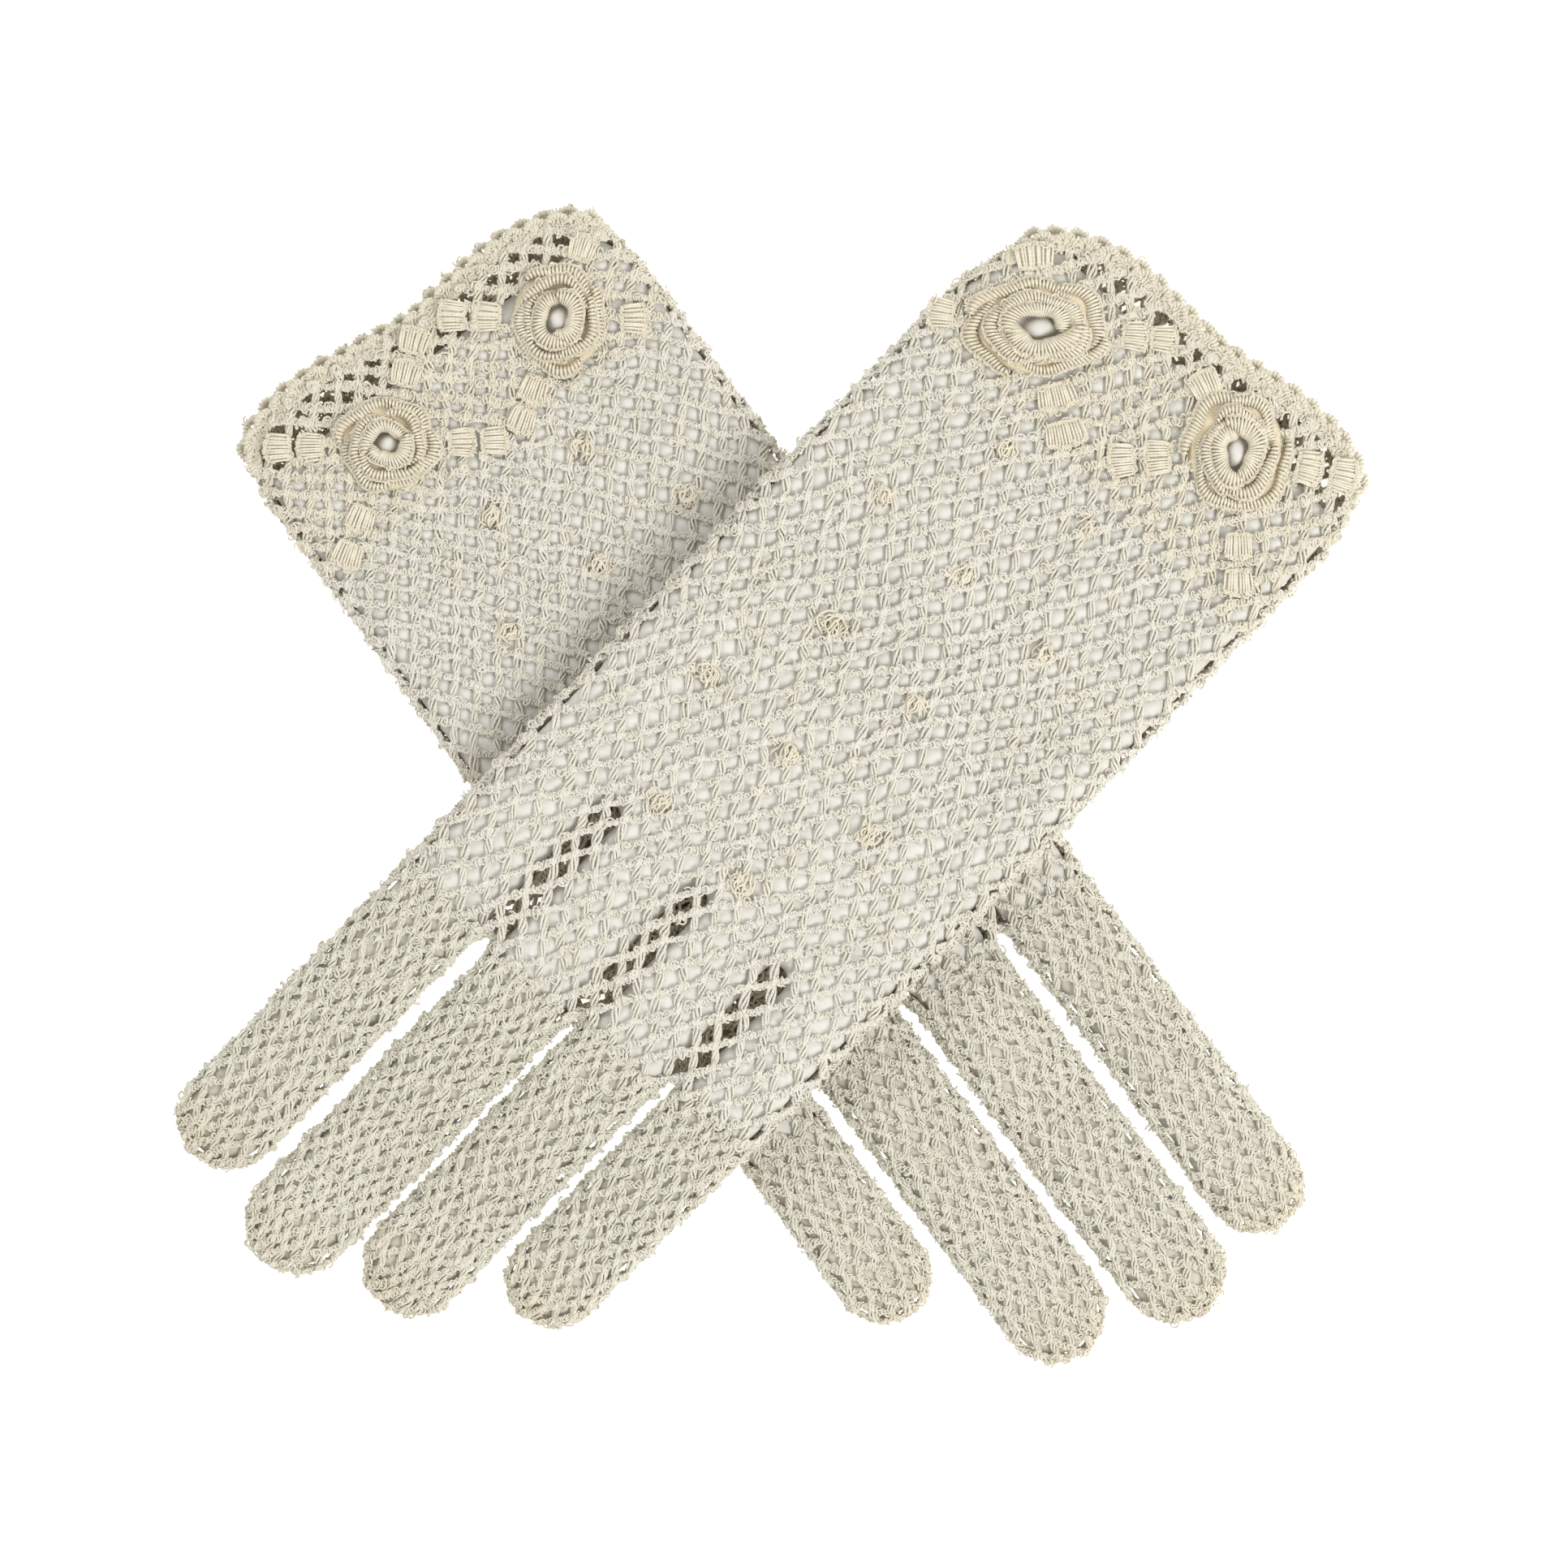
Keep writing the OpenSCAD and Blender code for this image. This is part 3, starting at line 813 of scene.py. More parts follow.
def without_trimmings(side, region):
    """The region less the ground that roses and fans cover."""
    fans = fan_frames(side)
    ovals = [oval_of(f"{side}_rose_{r}_outer_petals")[:2] for r in "ab"]

    def cut(xy):
        depth = region(xy)
        for centre, half in ovals:
            r = np.sqrt((((xy - centre) / half) ** 2).sum(-1))
            depth = np.minimum(depth, (r - 1) * half.min() + 0.9)
        for foot, out, length, wide, _ in fans:
            d = xy - foot
            a = np.abs(d @ out - length / 2) - (length / 2 + 0.4)
            b = np.abs(d @ np.array([-out[1], out[0]])) - wide
            depth = np.minimum(depth, np.maximum(a, b) + 0.35)
        return depth
    return cut


def ribs(lace, inner, outer, foot, rise, rng, radius=0.235, age_and_shade=0.3):
    """Ribs from inner to outer points, arched upwards: the long stitches of a petal or fan."""
    count = len(inner)
    points = 8
    s = np.linspace(0, 1, points)
    line = inner[:, None] * (1 - s)[None, :, None] + outer[:, None] * s[None, :, None]
    arch = np.sin(math.pi * (0.04 + 0.92 * s)) ** 0.7
    height = np.asarray(foot)[:, None] + rise * arch[None] * rng.uniform(0.88, 1.12, (count, 1))
    path = np.concatenate([line, height[..., None]], -1)
    thick = radius * (1 + 0.12 * np.sin(np.linspace(0, 9, points)[None] + rng.uniform(0, TAU, (count, 1))))
    # browner towards both ends of each rib, where it dips into the hollow: painted shade
    warm = age_and_shade + (1 - age_and_shade) * np.abs(2 * s - 1) ** 3
    lace.tubes(path, thick, 5, rng.uniform(-1, 1, count), np.broadcast_to(warm, (count, points)))


def cushion(lace, inner, outer, foot, rise, age_and_shade=1.0):
    """The browner ground under a row of ribs, seen only between them: painted shade in the hollows between the
    ribs.
    """
    middle = (inner + outer) / 2
    wide = np.linalg.norm(outer - inner, axis=1) * 0.46
    path = with_height(middle, np.asarray(foot) + rise * 0.12)[None]
    up = upright(path)
    lace.tubes(path, wide[None], 8, warm=age_and_shade, flat=rise * 0.42 / wide.max(), up=up)


def rim(lace, ends, height, size, rng):
    """The chain along the ends of a row of ribs."""
    line = resampled(ends, CORD_STEP, closed=False)
    z = np.interp(np.linspace(0, 1, len(line)), np.linspace(0, 1, len(ends)), height)
    path = with_height(line, z)
    up = upright(path)
    braid(lace, path, up, np.arange(len(line)) * CORD_STEP / 1.3, rng, 0.34 * size, 0.2, 0.2, 4, 0.4)
    curls(lace, path, up, 0.1, rng, 0.18, 1.2 * size, 0.3)


def fans(side, rng):
    """Small ribbed shells standing round the roses."""
    lace = Lace()
    for foot, out, length, wide, level in fan_frames(side):
        across = np.array([-out[1], out[0]])
        wide = wide * rng.uniform(0.95, 1.06)
        count = int(round(2 * wide / RIB_PITCH)) + 1
        q = np.linspace(-1, 1, count) + rng.normal(0, 0.03, count)
        bulge = np.sqrt(np.clip(1 - (0.62 * q) ** 2, 0, 1))
        inner = foot + out * (0.75 - 0.55 * bulge)[:, None] + across * (q * wide * 0.84)[:, None]
        outer = foot + out * (length * (0.22 + 0.84 * bulge))[:, None] + across * (q * wide)[:, None]
        base = level - 0.15 + rng.normal(0, 0.1) * q
        ribs(lace, inner, outer, base, 1.1, rng, age_and_shade=0.1)
        cushion(lace, inner, outer, base, 1.1, age_and_shade=0.7)
        rim(lace, outer, base + 0.45, 1.15, rng)
        rim(lace, inner, base + 0.4, 0.95, rng)
    fit(lace.build(f"{side}_fans", ROSE_THREAD), f"{side}_cuff_shells", side)


def petal(lace, centre, half, middle, reach, depth, foot, rise, rng):
    """A crescent of ribs round part of an oval; one end tucks under its neighbour, the other stands over."""
    angle = middle + np.linspace(-reach, reach, 80)
    edge = resampled(half * np.stack([np.cos(angle), np.sin(angle)], 1), PETAL_PITCH, closed=False)
    q = np.linspace(-1, 1, len(edge))
    crown = np.sqrt(np.clip(1 - np.abs(q) ** 3, 0, 1))
    wave = 0.055 * np.sin(q * 6 + rng.uniform(0, TAU))
    outer_scale = 1 + 0.11 * q - 0.12 * (1 - crown) + wave + rng.normal(0, 0.05)
    inner_scale = outer_scale - depth * (0.35 + 0.65 * crown) * rng.uniform(0.8, 1.15)
    outer = centre + edge * outer_scale[:, None]
    inner = centre + edge * inner_scale[:, None]
    base = foot + 0.9 * q - 0.6 * np.abs(q) ** 6
    ribs(lace, inner, outer, base, rise, rng, radius=0.26)
    cushion(lace, inner, outer, base - 0.15, rise)
    rim(lace, outer + (outer - inner) * 0.03, base + 0.3 * rise, 0.85, rng)


def petals_round(side, rose, layer, count, overlap, depth, sink, rise, rng):
    """One round of a rose; a round of two leaves a slit along the oval."""
    node = f"{side}_rose_{rose}_{ROSE_NODES[layer]}"
    centre, half, low, _ = oval_of(node)
    lace = Lace()
    start = rng.uniform(0, TAU)
    if count == 2:
        start = 0.0 if half[1] > half[0] else math.pi / 2
    # a flat, strongly browned ring under the outer petals: painted shade under the rose
    if layer == "outer":
        angle = np.linspace(0, TAU, 49)
        ring = with_height(centre + 0.66 * half * np.stack([np.cos(angle), np.sin(angle)], 1), low + 0.25)
        lace.tubes(ring[None], half.min() * 0.36, 8, warm=1.6, flat=0.1, up=upright(ring)[None])
    for m in range(count):
        middle = start + TAU * (m + rng.normal(0, 0.06)) / count
        petal(lace, centre, half, middle, overlap * math.pi / count, depth, low - sink, rise, rng)
    fit(lace.build(f"{side}_rose_{rose}_{layer}", ROSE_THREAD), node, side)


def coil(lace, path, radius, wire, pitch, rng, warm):
    """A cord wrapped round and round with thread."""
    per_turn = 7
    path = resampled(path, pitch / per_turn, closed=False)
    tangent = unit(np.gradient(path, axis=0))
    up = upright(path)
    up = unit(up - np.sum(up * tangent, -1, keepdims=True) * tangent)
    side_on = np.cross(tangent, up)
    turn = np.arange(len(path)) / per_turn * TAU
    swell = radius * (1 + 0.07 * np.sin(np.arange(len(path)) * 0.11 + rng.uniform(0, TAU)))
    wound = path + up * (np.cos(turn) * swell)[:, None] + side_on * (np.sin(turn) * swell)[:, None]
    lace.tubes(wound[None], wire, 4, rng.uniform(-1, 1, 1), warm)
    lace.tubes(path[None, ::4], radius * 0.9, 7, warm=warm + 0.3)


def bobbles(side, rng):
    """Little tufts of loops standing on the net."""
    lace = Lace()
    for points in islands(f"{side}_bobbles"):
        centre = (points.min(0) + points.max(0)) / 2
        top = points[:, 2].max()
        base = points[:, 2].min() - 0.55
        count = 16
        angle = rng.normal(1.2, 0.5, count)
        t = np.linspace(-1, 1, 9)[None]
        reach = rng.uniform(1.5, 2.7, (count, 1))
        side_step = np.linspace(-1.7, 1.7, count)[:, None] + rng.normal(0, 0.25, (count, 1))
        bend = rng.normal(0, 0.8, (count, 1))
        u = reach * t
        v = side_step + bend * (1 - t ** 2) + 0.22 * np.sin(5 * t + side_step * 9)
        c, s = np.cos(angle)[:, None], np.sin(angle)[:, None]
        rise = (top - base - 0.35) * rng.uniform(0.5, 0.95, (count, 1)) * np.cos(side_step * 0.6)
        path = np.stack([centre[0] + u * c - v * s, centre[1] + u * s + v * c,
                         base + rise * (1 - np.abs(t) ** 3.5)], -1)
        lace.tubes(path, 0.21 * rng.uniform(0.85, 1.2, (count, 1)), 5, rng.uniform(-1, 1, count), 0.35)
    fit(lace.build(f"{side}_bobbles_tufts", ROSE_THREAD), f"{side}_bobbles", side)


def outline_parts(side, field):
    """The outline cut into stretches: for each label, its lines."""
    found = {}
    c, s = turned(side)
    axis = np.array([c, s])
    knuckles = np.array(GLOVES[side]["knuckle"])
    for loop in field.outlines():
        line = eased(resampled(loop, OUTLINE_STEP), 6)
        plan = to_plan(side, line)
        facing = field.inward(line) @ axis
        finger = share_y(side, plan[:, 1])
        label = np.where(plan[:, 0] > knuckles[finger], finger, HAND_EDGE)
        label = np.where(plan[:, 0] < CUFF_LINE, CUFF_EDGE, label)
        label = np.where((plan[:, 0] < CUFF_LINE - 12) & (facing > 0.45), MOUTH_EDGE, label)
        breaks = np.flatnonzero(label != np.roll(label, 1))
        if not len(breaks):
            continue
        ends = np.append(breaks[1:], breaks[0] + len(line))
        for first, last in zip(breaks, ends):
            if last - first > 8:
                part = np.arange(first - OVERLAP, last + OVERLAP) % len(line)
                found.setdefault(int(label[first]), []).append(line[part])
    return found


def edge_braid(lace, field, line, rng, gauge, warmth=no_age):
    """The row of stitches where front and back meet along an edge."""
    inward = field.inward(line)
    run = np.arange(len(line)) * OUTLINE_STEP
    wobble = 0.3 * np.sin(run * TAU / 3.7 + rng.uniform(0, TAU)) + 0.4 * np.sin(run * TAU / 8.6)
    for level, offset in ((0.62, 0.42), (-0.75, 0.28)):
        xy = line + inward * (offset - wobble * (1 if level > 0 else -0.6))[:, None]
        path = with_height(xy, field.middle(xy) + level)
        normal = unit(with_height(-inward * 0.75, 0.65 if level > 0 else -0.65))
        warm = warmth(xy)
        braid(lace, path, normal, run / 1.9 + (0.4 if level < 0 else 0), rng, gauge["half_w"] * 0.85,
              gauge["half_h"], gauge["radius"], gauge["sides"], warm)
        if level > 0:
            curls(lace, path, normal, 0.35 * gauge["curls"] / 4.2, rng, gauge["curl_radius"],
                  gauge["curl_size"], warm)


def scallops(lace, field, line, inward, face, start, rng):
    """One row of wrapped scallops along a line, the chain that it grows from, and the spokes between them."""
    depth = 1.7
    run = np.arange(len(line)) * CORD_STEP
    pitch = run[-1] / max(1, round(run[-1] / 4.4))
    mid = field.middle(line)
    half = (field.read(field.top, line) - field.read(field.low, line)) / 2
    shift = 0.5 if face < 0 else 0.0
    bump = np.abs(np.sin(math.pi * (run / pitch + shift))) ** 0.75
    fade = np.clip(np.minimum(run, run[-1] - run) / 5, 0, 1)
    out = (start + depth * bump) * fade
    cord = with_height(line - inward * out[:, None], mid + face * half * 0.5 + 0.35 * (bump - 0.5))
    up = unit(with_height(-inward * 0.3, face * 1.0))
    coil(lace, cord, 0.62, 0.28, PETAL_PITCH, rng, 0.25)
    curls(lace, cord, up, 0.2, rng, 0.2, 1.5, 0.2)
    row = with_height(line - inward * (start - 1.0), mid + face * half * 0.62)
    braid(lace, row, up, run / 1.6, rng, 0.6, 0.3, 0.25, 4, 0.25)
    curls(lace, row, up, 0.2, rng, 0.2, 1.6, 0.25)
    hub = (np.arange(int(round(run[-1] / pitch)) + 1) + (0.5 if face > 0 else 0.0)) * pitch
    head = hub[:, None] + np.linspace(-0.4, 0.4, 6)[None] * pitch
    foot = hub[:, None] + np.linspace(-0.25, 0.25, 6)[None] * pitch
    ok = (head > 0) & (head < run[-1]) & (foot > 0) & (foot < run[-1])
    head = (head[ok] / CORD_STEP).astype(int)
    foot = (foot[ok] / CORD_STEP).astype(int)
    posts(lace, row[foot], cord[head], up[head], up[head], rng, 2, 6, 0.22, 0.26, 4, 0.3)


def mouth_edging(side, field, lines, rng):
    """Wrapped scallops round the mouth: one row on the front edge, one reaching further on the back."""
    lace = Lace()
    for line in lines:
        line = resampled(line, CORD_STEP, closed=False)
        inward = unit(eased(field.inward(line), 8, closed=False))
        for face, start in ((1, 0.3), (-1, 1.7)):
            scallops(lace, field, line, inward, face, start, rng)
    fit(lace.build(f"{side}_mouth_edging", CUFF_THREAD), f"{side}_cuff_edging", side)


# ---------------------------------------------------------------- the soft white insert
def pad_grid(field, keep, pitch, shrink):
    """A square grid drawn out to the outline: its points, their numbers in the grid, and its kept squares."""
    lo = field.origin
    hi = lo + (np.array(field.depth.shape[::-1]) - 1) * GRID_PITCH
    nx, ny = np.floor((hi - lo) / pitch).astype(int)
    xs, ys = np.meshgrid(np.arange(nx) * pitch + lo[0], np.arange(ny) * pitch + lo[1])
    xy = np.stack([xs, ys], -1)
    centre = xy[:-1, :-1] + pitch / 2
    kept = (field.inside(centre) > shrink) & keep(centre)
    corners = np.zeros((ny, nx), int)
    for dy in (0, 1):
        for dx in (0, 1):
            corners[dy:ny - 1 + dy, dx:nx - 1 + dx] += kept
    used = corners > 0
    near = used & (corners < 4) & (np.abs(field.inside(xy) - shrink) < pitch)
    moved = xy.copy()
    moved[near] -= field.inward(xy[near]) * (field.inside(xy[near]) - shrink)[:, None]
    number = np.full((ny, nx), -1)
    number[used] = np.arange(used.sum())
    return moved[used], number, kept


def closed_pad(upper_faces, count):
    """Faces of a pad whose lower points follow its upper ones: top, bottom and the wall round its border."""
    lower_faces = upper_faces[:, ::-1] + count
    pairs = np.concatenate([upper_faces[:, [k, (k + 1) % 4]] for k in range(4)])
    key = pairs.min(1) * count + pairs.max(1)
    _, first, times = np.unique(key, return_index=True, return_counts=True)
    border = pairs[first[times == 1]]
    walls = np.stack([border[:, 1], border[:, 0], border[:, 0] + count, border[:, 1] + count], -1)
    return np.concatenate([upper_faces, lower_faces, walls])


def pad(name, field, keep, cells, rng, material, lift, domes=()):
    """A closed pad, crowned at its edges, puffed into the holes of the net and domed into the roses."""
    shrink = 0.3
    flat, number, kept = pad_grid(field, keep, 0.75, shrink)
    puff = lift * (2.3 * np.exp(-(nearest(cells, flat) / 1.3) ** 2) - 0.9)
    share = np.clip((field.inside(flat) - shrink) / 3.6, 0.04, 1)
    crown = np.sqrt(1 - (1 - share) ** 2)
    top, low = field.read(field.top, flat), field.read(field.low, flat)
    mid, half = (top + low) / 2, (top - low) / 2
    soft = ripple(flat, rng, 0.12, 9)[:, 0] * crown
    upper = mid + half * crown + puff * crown + soft
    for centre, reach, rise in domes:
        r = np.sqrt((((flat - centre) / reach) ** 2).sum(-1))
        upper = upper + rise * np.clip(1.25 - r ** 2, 0, 1)
    co = np.concatenate([with_height(flat, upper), with_height(flat, mid - half * crown)])
    squares = (number[:-1, :-1], number[:-1, 1:], number[1:, 1:], number[1:, :-1])
    faces = closed_pad(np.stack([corner[kept] for corner in squares], -1), len(flat))
    me = bpy.data.meshes.new(name)
    me.from_pydata((co * MM).tolist(), [], faces.tolist())
    me.polygons.foreach_set("use_smooth", np.ones(len(me.polygons), bool))
    me.validate()
    return add_object(name, me, material)


# ---------------------------------------------------------------- materials
class Surface:
    """A material, and short ways to add nodes to it."""

    def __init__(self, name, **settings):
        self.material = bpy.data.materials.new(name)
        self.material.use_nodes = True
        self.tree = self.material.node_tree
        self.shader = self.tree.nodes["Principled BSDF"]
        for label, value in settings.items():
            self.shader.inputs[label.replace("_", " ")].default_value = value

    def put(self, socket, value):
        if isinstance(value, bpy.types.NodeSocket):
            self.tree.links.new(value, socket)
        else:
            socket.default_value = value

    def node(self, kind, **inputs):
        made = self.tree.nodes.new(kind)
        for label, value in inputs.items():
            self.put(made.inputs[label], value)
        return made

    def maths(self, kind, *values):
        made = self.tree.nodes.new("ShaderNodeMath")
        made.operation = kind
        for socket, value in zip(made.inputs, values):
            self.put(socket, value)
        return made.outputs[0]

    def mixed(self, factor, a, b):
        made = self.tree.nodes.new("ShaderNodeMix")
        made.data_type = "RGBA"
        for socket, value in zip([s for s in made.inputs if s.enabled], (factor, a, b)):
            self.put(socket, value)
        return next(s for s in made.outputs if s.enabled)

    def noise(self, scale, detail):
        place = self.node("ShaderNodeTexCoord").outputs["Object"]
        return self.node("ShaderNodeTexNoise", Vector=place, Scale=scale, Detail=detail).outputs[0]

    def attribute(self, name):
        made = self.node("ShaderNodeAttribute")
        made.attribute_name = name
        return made.outputs["Fac"]

    def bump(self, height, strength, distance):
        made = self.node("ShaderNodeBump", Strength=strength, Distance=distance, Height=height)
        self.put(self.shader.inputs["Normal"], made.outputs[0])


def cotton(name, pale, deep):
    """Spun cotton thread: two-ply twist from the thread's own map, with patches of yellowing; each strand's
    warm value browns it, which is yellowing towards the fingertips and painted shade in the hollows of roses
    and fans.
    """
    s = Surface(name, Roughness=0.82, Specular_IOR_Level=0.25, Sheen_Weight=0.18, Sheen_Roughness=0.5)
    strand = s.node("ShaderNodeUVMap")
    strand.uv_map = "Thread"
    place = s.node("ShaderNodeSeparateXYZ", Vector=strand.outputs["UV"]).outputs
    around = s.maths("MULTIPLY", place[0], 2.0)
    twist = s.maths("ADD", around, s.maths("MULTIPLY", place[1], 1.35))
    ply = s.maths("SINE", s.maths("MULTIPLY", twist, TAU))
    flecks = s.noise(900.0, 3.0)
    # ply also deepens the colour where the twist's bump is low: painted shade in the grooves between plies
    shares = ((s.noise(38.0, 4.0), 0.55), (s.attribute("tone"), 0.1), (flecks, 0.3),
              (s.maths("MULTIPLY_ADD", ply, -0.5, 0.5), 0.12))
    amount = -0.22
    for value, share in shares:
        amount = s.maths("ADD", s.maths("MULTIPLY", value, share), amount)
    base = s.mixed(s.node("ShaderNodeClamp", Value=amount).outputs[0], pale, deep)
    # browner by each strand's warm value: yellowing on the fingertips, painted shade in the hollows of roses
    # and fans
    aged_and_shaded = s.mixed(s.maths("MULTIPLY", s.attribute("warm"), 0.42), base, (0.79, 0.66, 0.42, 1.0))
    s.put(s.shader.inputs["Base Color"], aged_and_shaded)
    s.bump(s.maths("ADD", s.maths("MULTIPLY", ply, 0.6), s.maths("MULTIPLY", flecks, 0.9)), 0.4, 0.00012)
    return s.material


def fleece(name, pale, deep):
    """The matte white wadding inside."""
    s = Surface(name, Roughness=0.95, Specular_IOR_Level=0.1, Sheen_Weight=0.1)
    ramp = s.node("ShaderNodeValToRGB", Fac=s.noise(60.0, 3.0))
    for stop, place, color in zip(ramp.color_ramp.elements, (0.35, 0.62), (deep, pale)):
        stop.position = place
        stop.color = color
    s.put(s.shader.inputs["Base Color"], ramp.outputs[0])
    s.bump(s.noise(1500.0, 4.0), 0.25, 0.0001)
    return s.material


# ---------------------------------------------------------------- putting a glove together
HAND_THREAD = cotton("hand_cotton", (0.90, 0.865, 0.765, 1.0), (0.80, 0.755, 0.63, 1.0))
FINGER_THREAD = cotton("finger_cotton", (0.86, 0.825, 0.71, 1.0), (0.74, 0.70, 0.575, 1.0))
# the palm side's thread is darker and browner than the front's: painted shade, as the palm lies in the glove's
# shadow
SHADED_PALM_THREAD = cotton("palm_cotton_painted_shade", (0.65, 0.57, 0.43, 1.0), (0.51, 0.43, 0.31, 1.0))
CUFF_THREAD = cotton("cuff_cotton", (0.90, 0.86, 0.74, 1.0), (0.79, 0.73, 0.58, 1.0))
ROSE_THREAD = cotton("rose_cotton", (0.95, 0.905, 0.78, 1.0), (0.85, 0.77, 0.59, 1.0))
WADDING = fleece("white_wadding", (0.85, 0.835, 0.775, 1.0), (0.79, 0.77, 0.71, 1.0))
# the finger pads are darker and yellower than the hand's: painted shade under the fingers' dense net
SHADED_FINGER_WADDING = fleece("finger_wadding_painted_shade", (0.76, 0.73, 0.63, 1.0), (0.66, 0.63, 0.53, 1.0))


# the CAD node of each round of a rose
ROSE_NODES = {"outer": "outer_petals", "middle": "middle_petals", "heart": "inner_ring"}
# each round's count of petals, their overlap and depth, how far it is sunk into its solid, and its rise
ROSE_ROUNDS = {
    "outer": (4, 1.3, 0.24, 0.1, 1.7),
    "middle": (3, 1.25, 0.27, 0.6, 1.9),
    "heart": (2, 1.12, 0.58, 1.3, 1.9),
}
# a length past the knuckle: fit works out points there, but no bend is made with them
BEND_LENGTH = 13.0


def fit(piece, node, side, finger=None):
    """Hides the piece's node; a piece off the fingers rides on its glove, and a finger's piece only has its
    transform baked where it stands.
    """
    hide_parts(node)
    body = f"{side}_glove"
    if finger is None:
        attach(piece, body)
        return
    g = GLOVES[side]
    for past in (0.0, BEND_LENGTH):
        x, y = to_world(side, np.array([g["knuckle"][finger] + past, g["finger_y"][finger]])) * MM
    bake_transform(piece)


def varying(side, values):
    """A direction that changes along the glove."""
    return lambda xy: np.interp(to_plan(side, xy)[..., 0], GLOVES[side]["stations"], values)


def finger_grid(side, finger, start, reach, rng, jitter):
    """The crossing points of a finger's net."""
    row_dir, post_dir, post_step, row_step = GLOVES[side]["finger_rows"][finger]
    return net_nodes(start, lambda p: row_dir, lambda p: post_dir, post_step, row_step, reach, reach,
                     rng, jitter)


def centres(grid):
    """Middles of a grid's cells."""
    return (grid[:-1, :-1] + grid[1:, 1:] + grid[:-1, 1:] + grid[1:, :-1]).reshape(-1, 2) / 4


def hand_nets(side, shell, edges, grid, close_grid, rng):
    """The hand's front in eight bands of rows, and its plainer, closer palm in two."""
    region = hand_region(side, shell)
    # the palm is worked in the darker thread: painted shade
    for face, gauge, label, nodes, bands, thread in ((1, HAND_FRONT, "front", grid, 8, HAND_THREAD),
                                                     (-1, HAND_BACK, "palm", close_grid, 2, SHADED_PALM_THREAD)):
        used = np.flatnonzero(region(nodes).max(1) > 0)
        cut = np.linspace(used[0] - 1, used[-1] + 1, bands + 1).astype(int)
        for b in range(bands):
            lace = Lace()
            net(lace, shell, region, nodes[cut[b]:cut[b + 1] + 1], face, rng, gauge, last_row=False)
            if b == 0 and face > 0:
                for line in edges.get(HAND_EDGE, ()):
                    edge_braid(lace, shell, line, rng, gauge)
            piece = lace.build(f"{side}_hand_{label}_{b + 1}", thread)
            fit(piece, f"{side}_hand_net", side)


def finger_nets(side, shell, edges, rng):
    """A closer net round each finger, its thread yellowed towards the tip; gives back the middles of the cells.
    """
    g = GLOVES[side]
    cells = []
    for f, finger in enumerate(FINGERS):
        tip = g["tip"][f]
        middle = to_world(side, np.array([(g["knuckle"][f] + tip) / 2, g["finger_y"][f]]))
        grid = finger_grid(side, f, middle, 22, rng, 0.36)
        cells.append(centres(grid))
        region = finger_region(side, shell, f)

        def warmth(xy):
            return np.clip((to_plan(side, xy)[..., 0] - tip + 14) / 12, 0, 1) * 0.5

        for face, gauge, label in ((1, FINGER_FRONT, "front"), (-1, FINGER_BACK, "palm")):
            lace = Lace()
            net(lace, shell, region, grid, face, rng, gauge, warmth)
            if face > 0:
                for line in edges.get(f, ()):
                    edge_braid(lace, shell, line, rng, gauge, warmth)
            piece = lace.build(f"{side}_{finger}_{label}", FINGER_THREAD)
            fit(piece, f"{side}_{finger}_finger", side, f)
    return cells


def cuff_nets(side, shell, edges, grid, close_grid, rng):
    """The cuff goes on with the hand's net, left open under the roses and fans on its front."""
    region = cuff_region(side, shell)
    node = f"{side}_cuff_band"
    front = Lace()
    net(front, shell, without_trimmings(side, region), grid, 1, rng, CUFF_FRONT, lambda xy: 0.15)
    for line in edges.get(CUFF_EDGE, ()):
        edge_braid(front, shell, line, rng, CUFF_FRONT)
    fit(front.build(f"{side}_cuff_front", CUFF_THREAD), node, side)
    palm = Lace()
    net(palm, shell, region, close_grid, -1, rng, HAND_BACK)
    # the cuff's palm is in the darker thread too: painted shade
    fit(palm.build(f"{side}_cuff_palm", SHADED_PALM_THREAD), node, side)


def insert_pads(side, cells, rng):
    """The white insert: one pad in the hand and one in each finger."""
    field = Field([f"{side}_insert_palm"] + [f"{side}_insert_{f}" for f in FINGERS])
    knuckles = np.array(GLOVES[side]["knuckle"])

    def in_hand(xy):
        plan = to_plan(side, xy)
        return plan[..., 0] < knuckles[share_y(side, plan[..., 1])]

    domes = []
    for rose in "ab":
        centre, half, _, _ = oval_of(f"{side}_rose_{rose}_inner_ring")
        domes.append((centre, half * 0.46, 2.8))
    palm = pad(f"{side}_insert_palm_pad", field, in_hand, cells[in_hand(cells)], rng, WADDING, 0.32, domes)
    fit(palm, f"{side}_insert_palm", side)
    for f, finger in enumerate(FINGERS):
        def in_finger(xy):
            return ~in_hand(xy) & (share_y(side, to_plan(side, xy)[..., 1]) == f)

        # each finger's pad is in the darker wadding: painted shade
        piece = pad(f"{side}_insert_{finger}_pad", field, in_finger, cells[in_finger(cells)], rng,
                    SHADED_FINGER_WADDING, 0.1)
        fit(piece, f"{side}_insert_{finger}", side, f)


def thumb_net(side, rng):
    """The thumb, flat and empty under the palm."""
    node = f"{side}_thumb"
    field = Field([node])
    field.share = np.clip(field.depth / 1.5, 0, 1)
    grid = finger_grid(side, 0, oval_of(node)[0], 16, rng, 0.2)
    lace = Lace()
    for face in (1, -1):
        net(lace, field, lambda xy: field.inside(xy) - EDGE_MARGIN, grid, face, rng, FINGER_BACK)
    for loop in field.outlines():
        line = eased(resampled(loop, OUTLINE_STEP), 6)
        run = np.arange(len(line)) * OUTLINE_STEP
        inward = field.inward(line)
        path = with_height(line + inward * 0.5, field.middle(line))
        braid(lace, path, unit(with_height(-inward * 0.01, 1.0)), run / 1.9, rng, 0.45, 0.2, 0.27, 4)
    thumb = lace.build(f"{side}_thumb_net", FINGER_THREAD)
    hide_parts(node)
    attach(thumb, node)


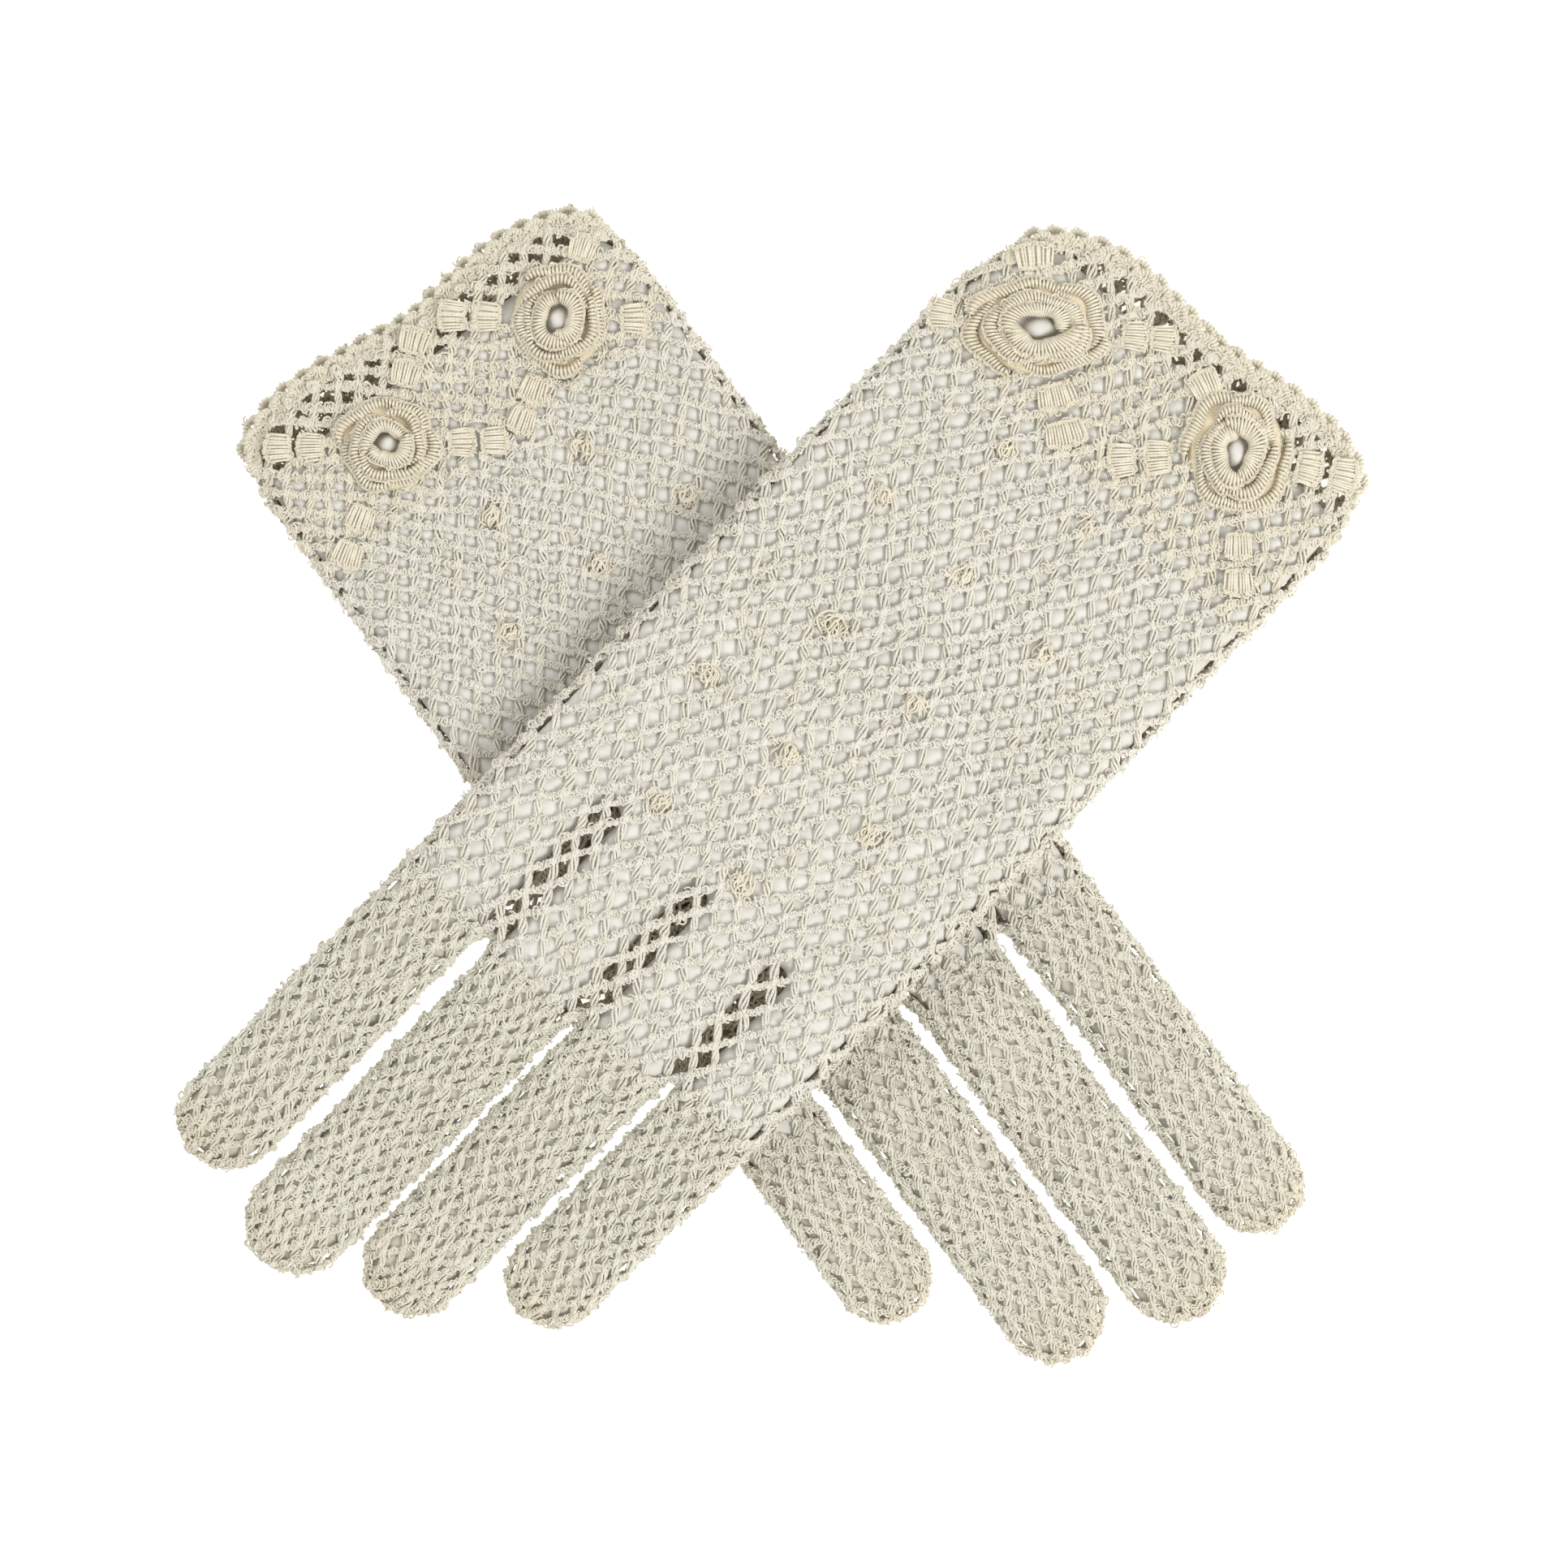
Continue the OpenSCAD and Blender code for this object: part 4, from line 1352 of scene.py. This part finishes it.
def glove(side):
    """One whole glove, each piece put in its place on the CAD nodes."""
    g = GLOVES[side]
    rng = np.random.default_rng(g["seed"])
    shell = Field([f"{side}_hand_net", f"{side}_cuff_band"] + [f"{side}_{f}_finger" for f in FINGERS])
    shell.open_mouth(side)
    edges = outline_parts(side, shell)
    row_dir, post_dir = varying(side, g["row_dir"]), varying(side, g["post_dir"])
    start = to_world(side, np.array([-5.0, 4.0]))
    grid = net_nodes(start, row_dir, post_dir, g["post_step"], g["row_step"], 34, 34, rng, 0.2)
    close_grid = net_nodes(start, row_dir, post_dir, 3.0, 3.0, 46, 46, rng, 0.15)
    hand_nets(side, shell, edges, grid, close_grid, rng)
    cells = [centres(grid)] + finger_nets(side, shell, edges, rng)
    cuff_nets(side, shell, edges, grid, close_grid, rng)
    mouth_edging(side, shell, edges.get(MOUTH_EDGE, ()), rng)
    fans(side, rng)
    bobbles(side, rng)
    for rose in "ab":
        for layer, sizes in ROSE_ROUNDS.items():
            petals_round(side, rose, layer, *sizes, rng)
    insert_pads(side, np.concatenate(cells), rng)
    thumb_net(side, rng)


# ---------------------------------------------------------------- floor, light and camera
def floor():
    """A white floor that gives off some light of its own."""
    half = 3.0
    me = bpy.data.meshes.new("floor")
    corners = [(-half, -half, 0), (half, -half, 0), (half, half, 0), (-half, half, 0)]
    me.from_pydata(corners, [], [(0, 1, 2, 3)])
    white = (1.0, 1.0, 1.0, 1.0)
    paint = Surface("floor_white", Base_Color=(0.9, 0.9, 0.9, 1.0), Roughness=0.9, Emission_Color=white,
                    Emission_Strength=0.7)
    sheet = add_object("floor", me, paint.material)
    sheet.location.z = -0.0002


def light(name, place, size, power):
    data = bpy.data.lights.new(name, "AREA")
    data.size = size
    data.energy = power
    lamp = add_object(name, data)
    lamp.location = place
    lamp.rotation_euler = (-lamp.location).to_track_quat("-Z", "Y").to_euler()


def camera(distance, width):
    """Looks straight down on that width of the table."""
    data = bpy.data.cameras.new("camera")
    data.sensor_width = 36.0
    data.lens = data.sensor_width * distance / width
    eye = add_object("camera", data)
    eye.location = (0.0015, -0.0004, distance + 0.009)
    bpy.context.scene.camera = eye


def studio():
    """Floor, soft lights, white surroundings and the camera."""
    scene = bpy.context.scene
    scene.view_settings.view_transform = "Standard"
    floor()
    world = bpy.data.worlds.new("studio")
    world.use_nodes = True
    sky = world.node_tree.nodes["Background"]
    sky.inputs["Color"].default_value = (1.0, 1.0, 1.0, 1.0)
    sky.inputs["Strength"].default_value = 0.55
    scene.world = world
    light("key", (0.85, -0.45, 1.15), 0.7, 12.5)
    light("fill", (-0.8, 0.9, 1.2), 1.2, 6.5)
    camera(1.3, 0.3091)


for side in GLOVES:
    glove(side)
studio()
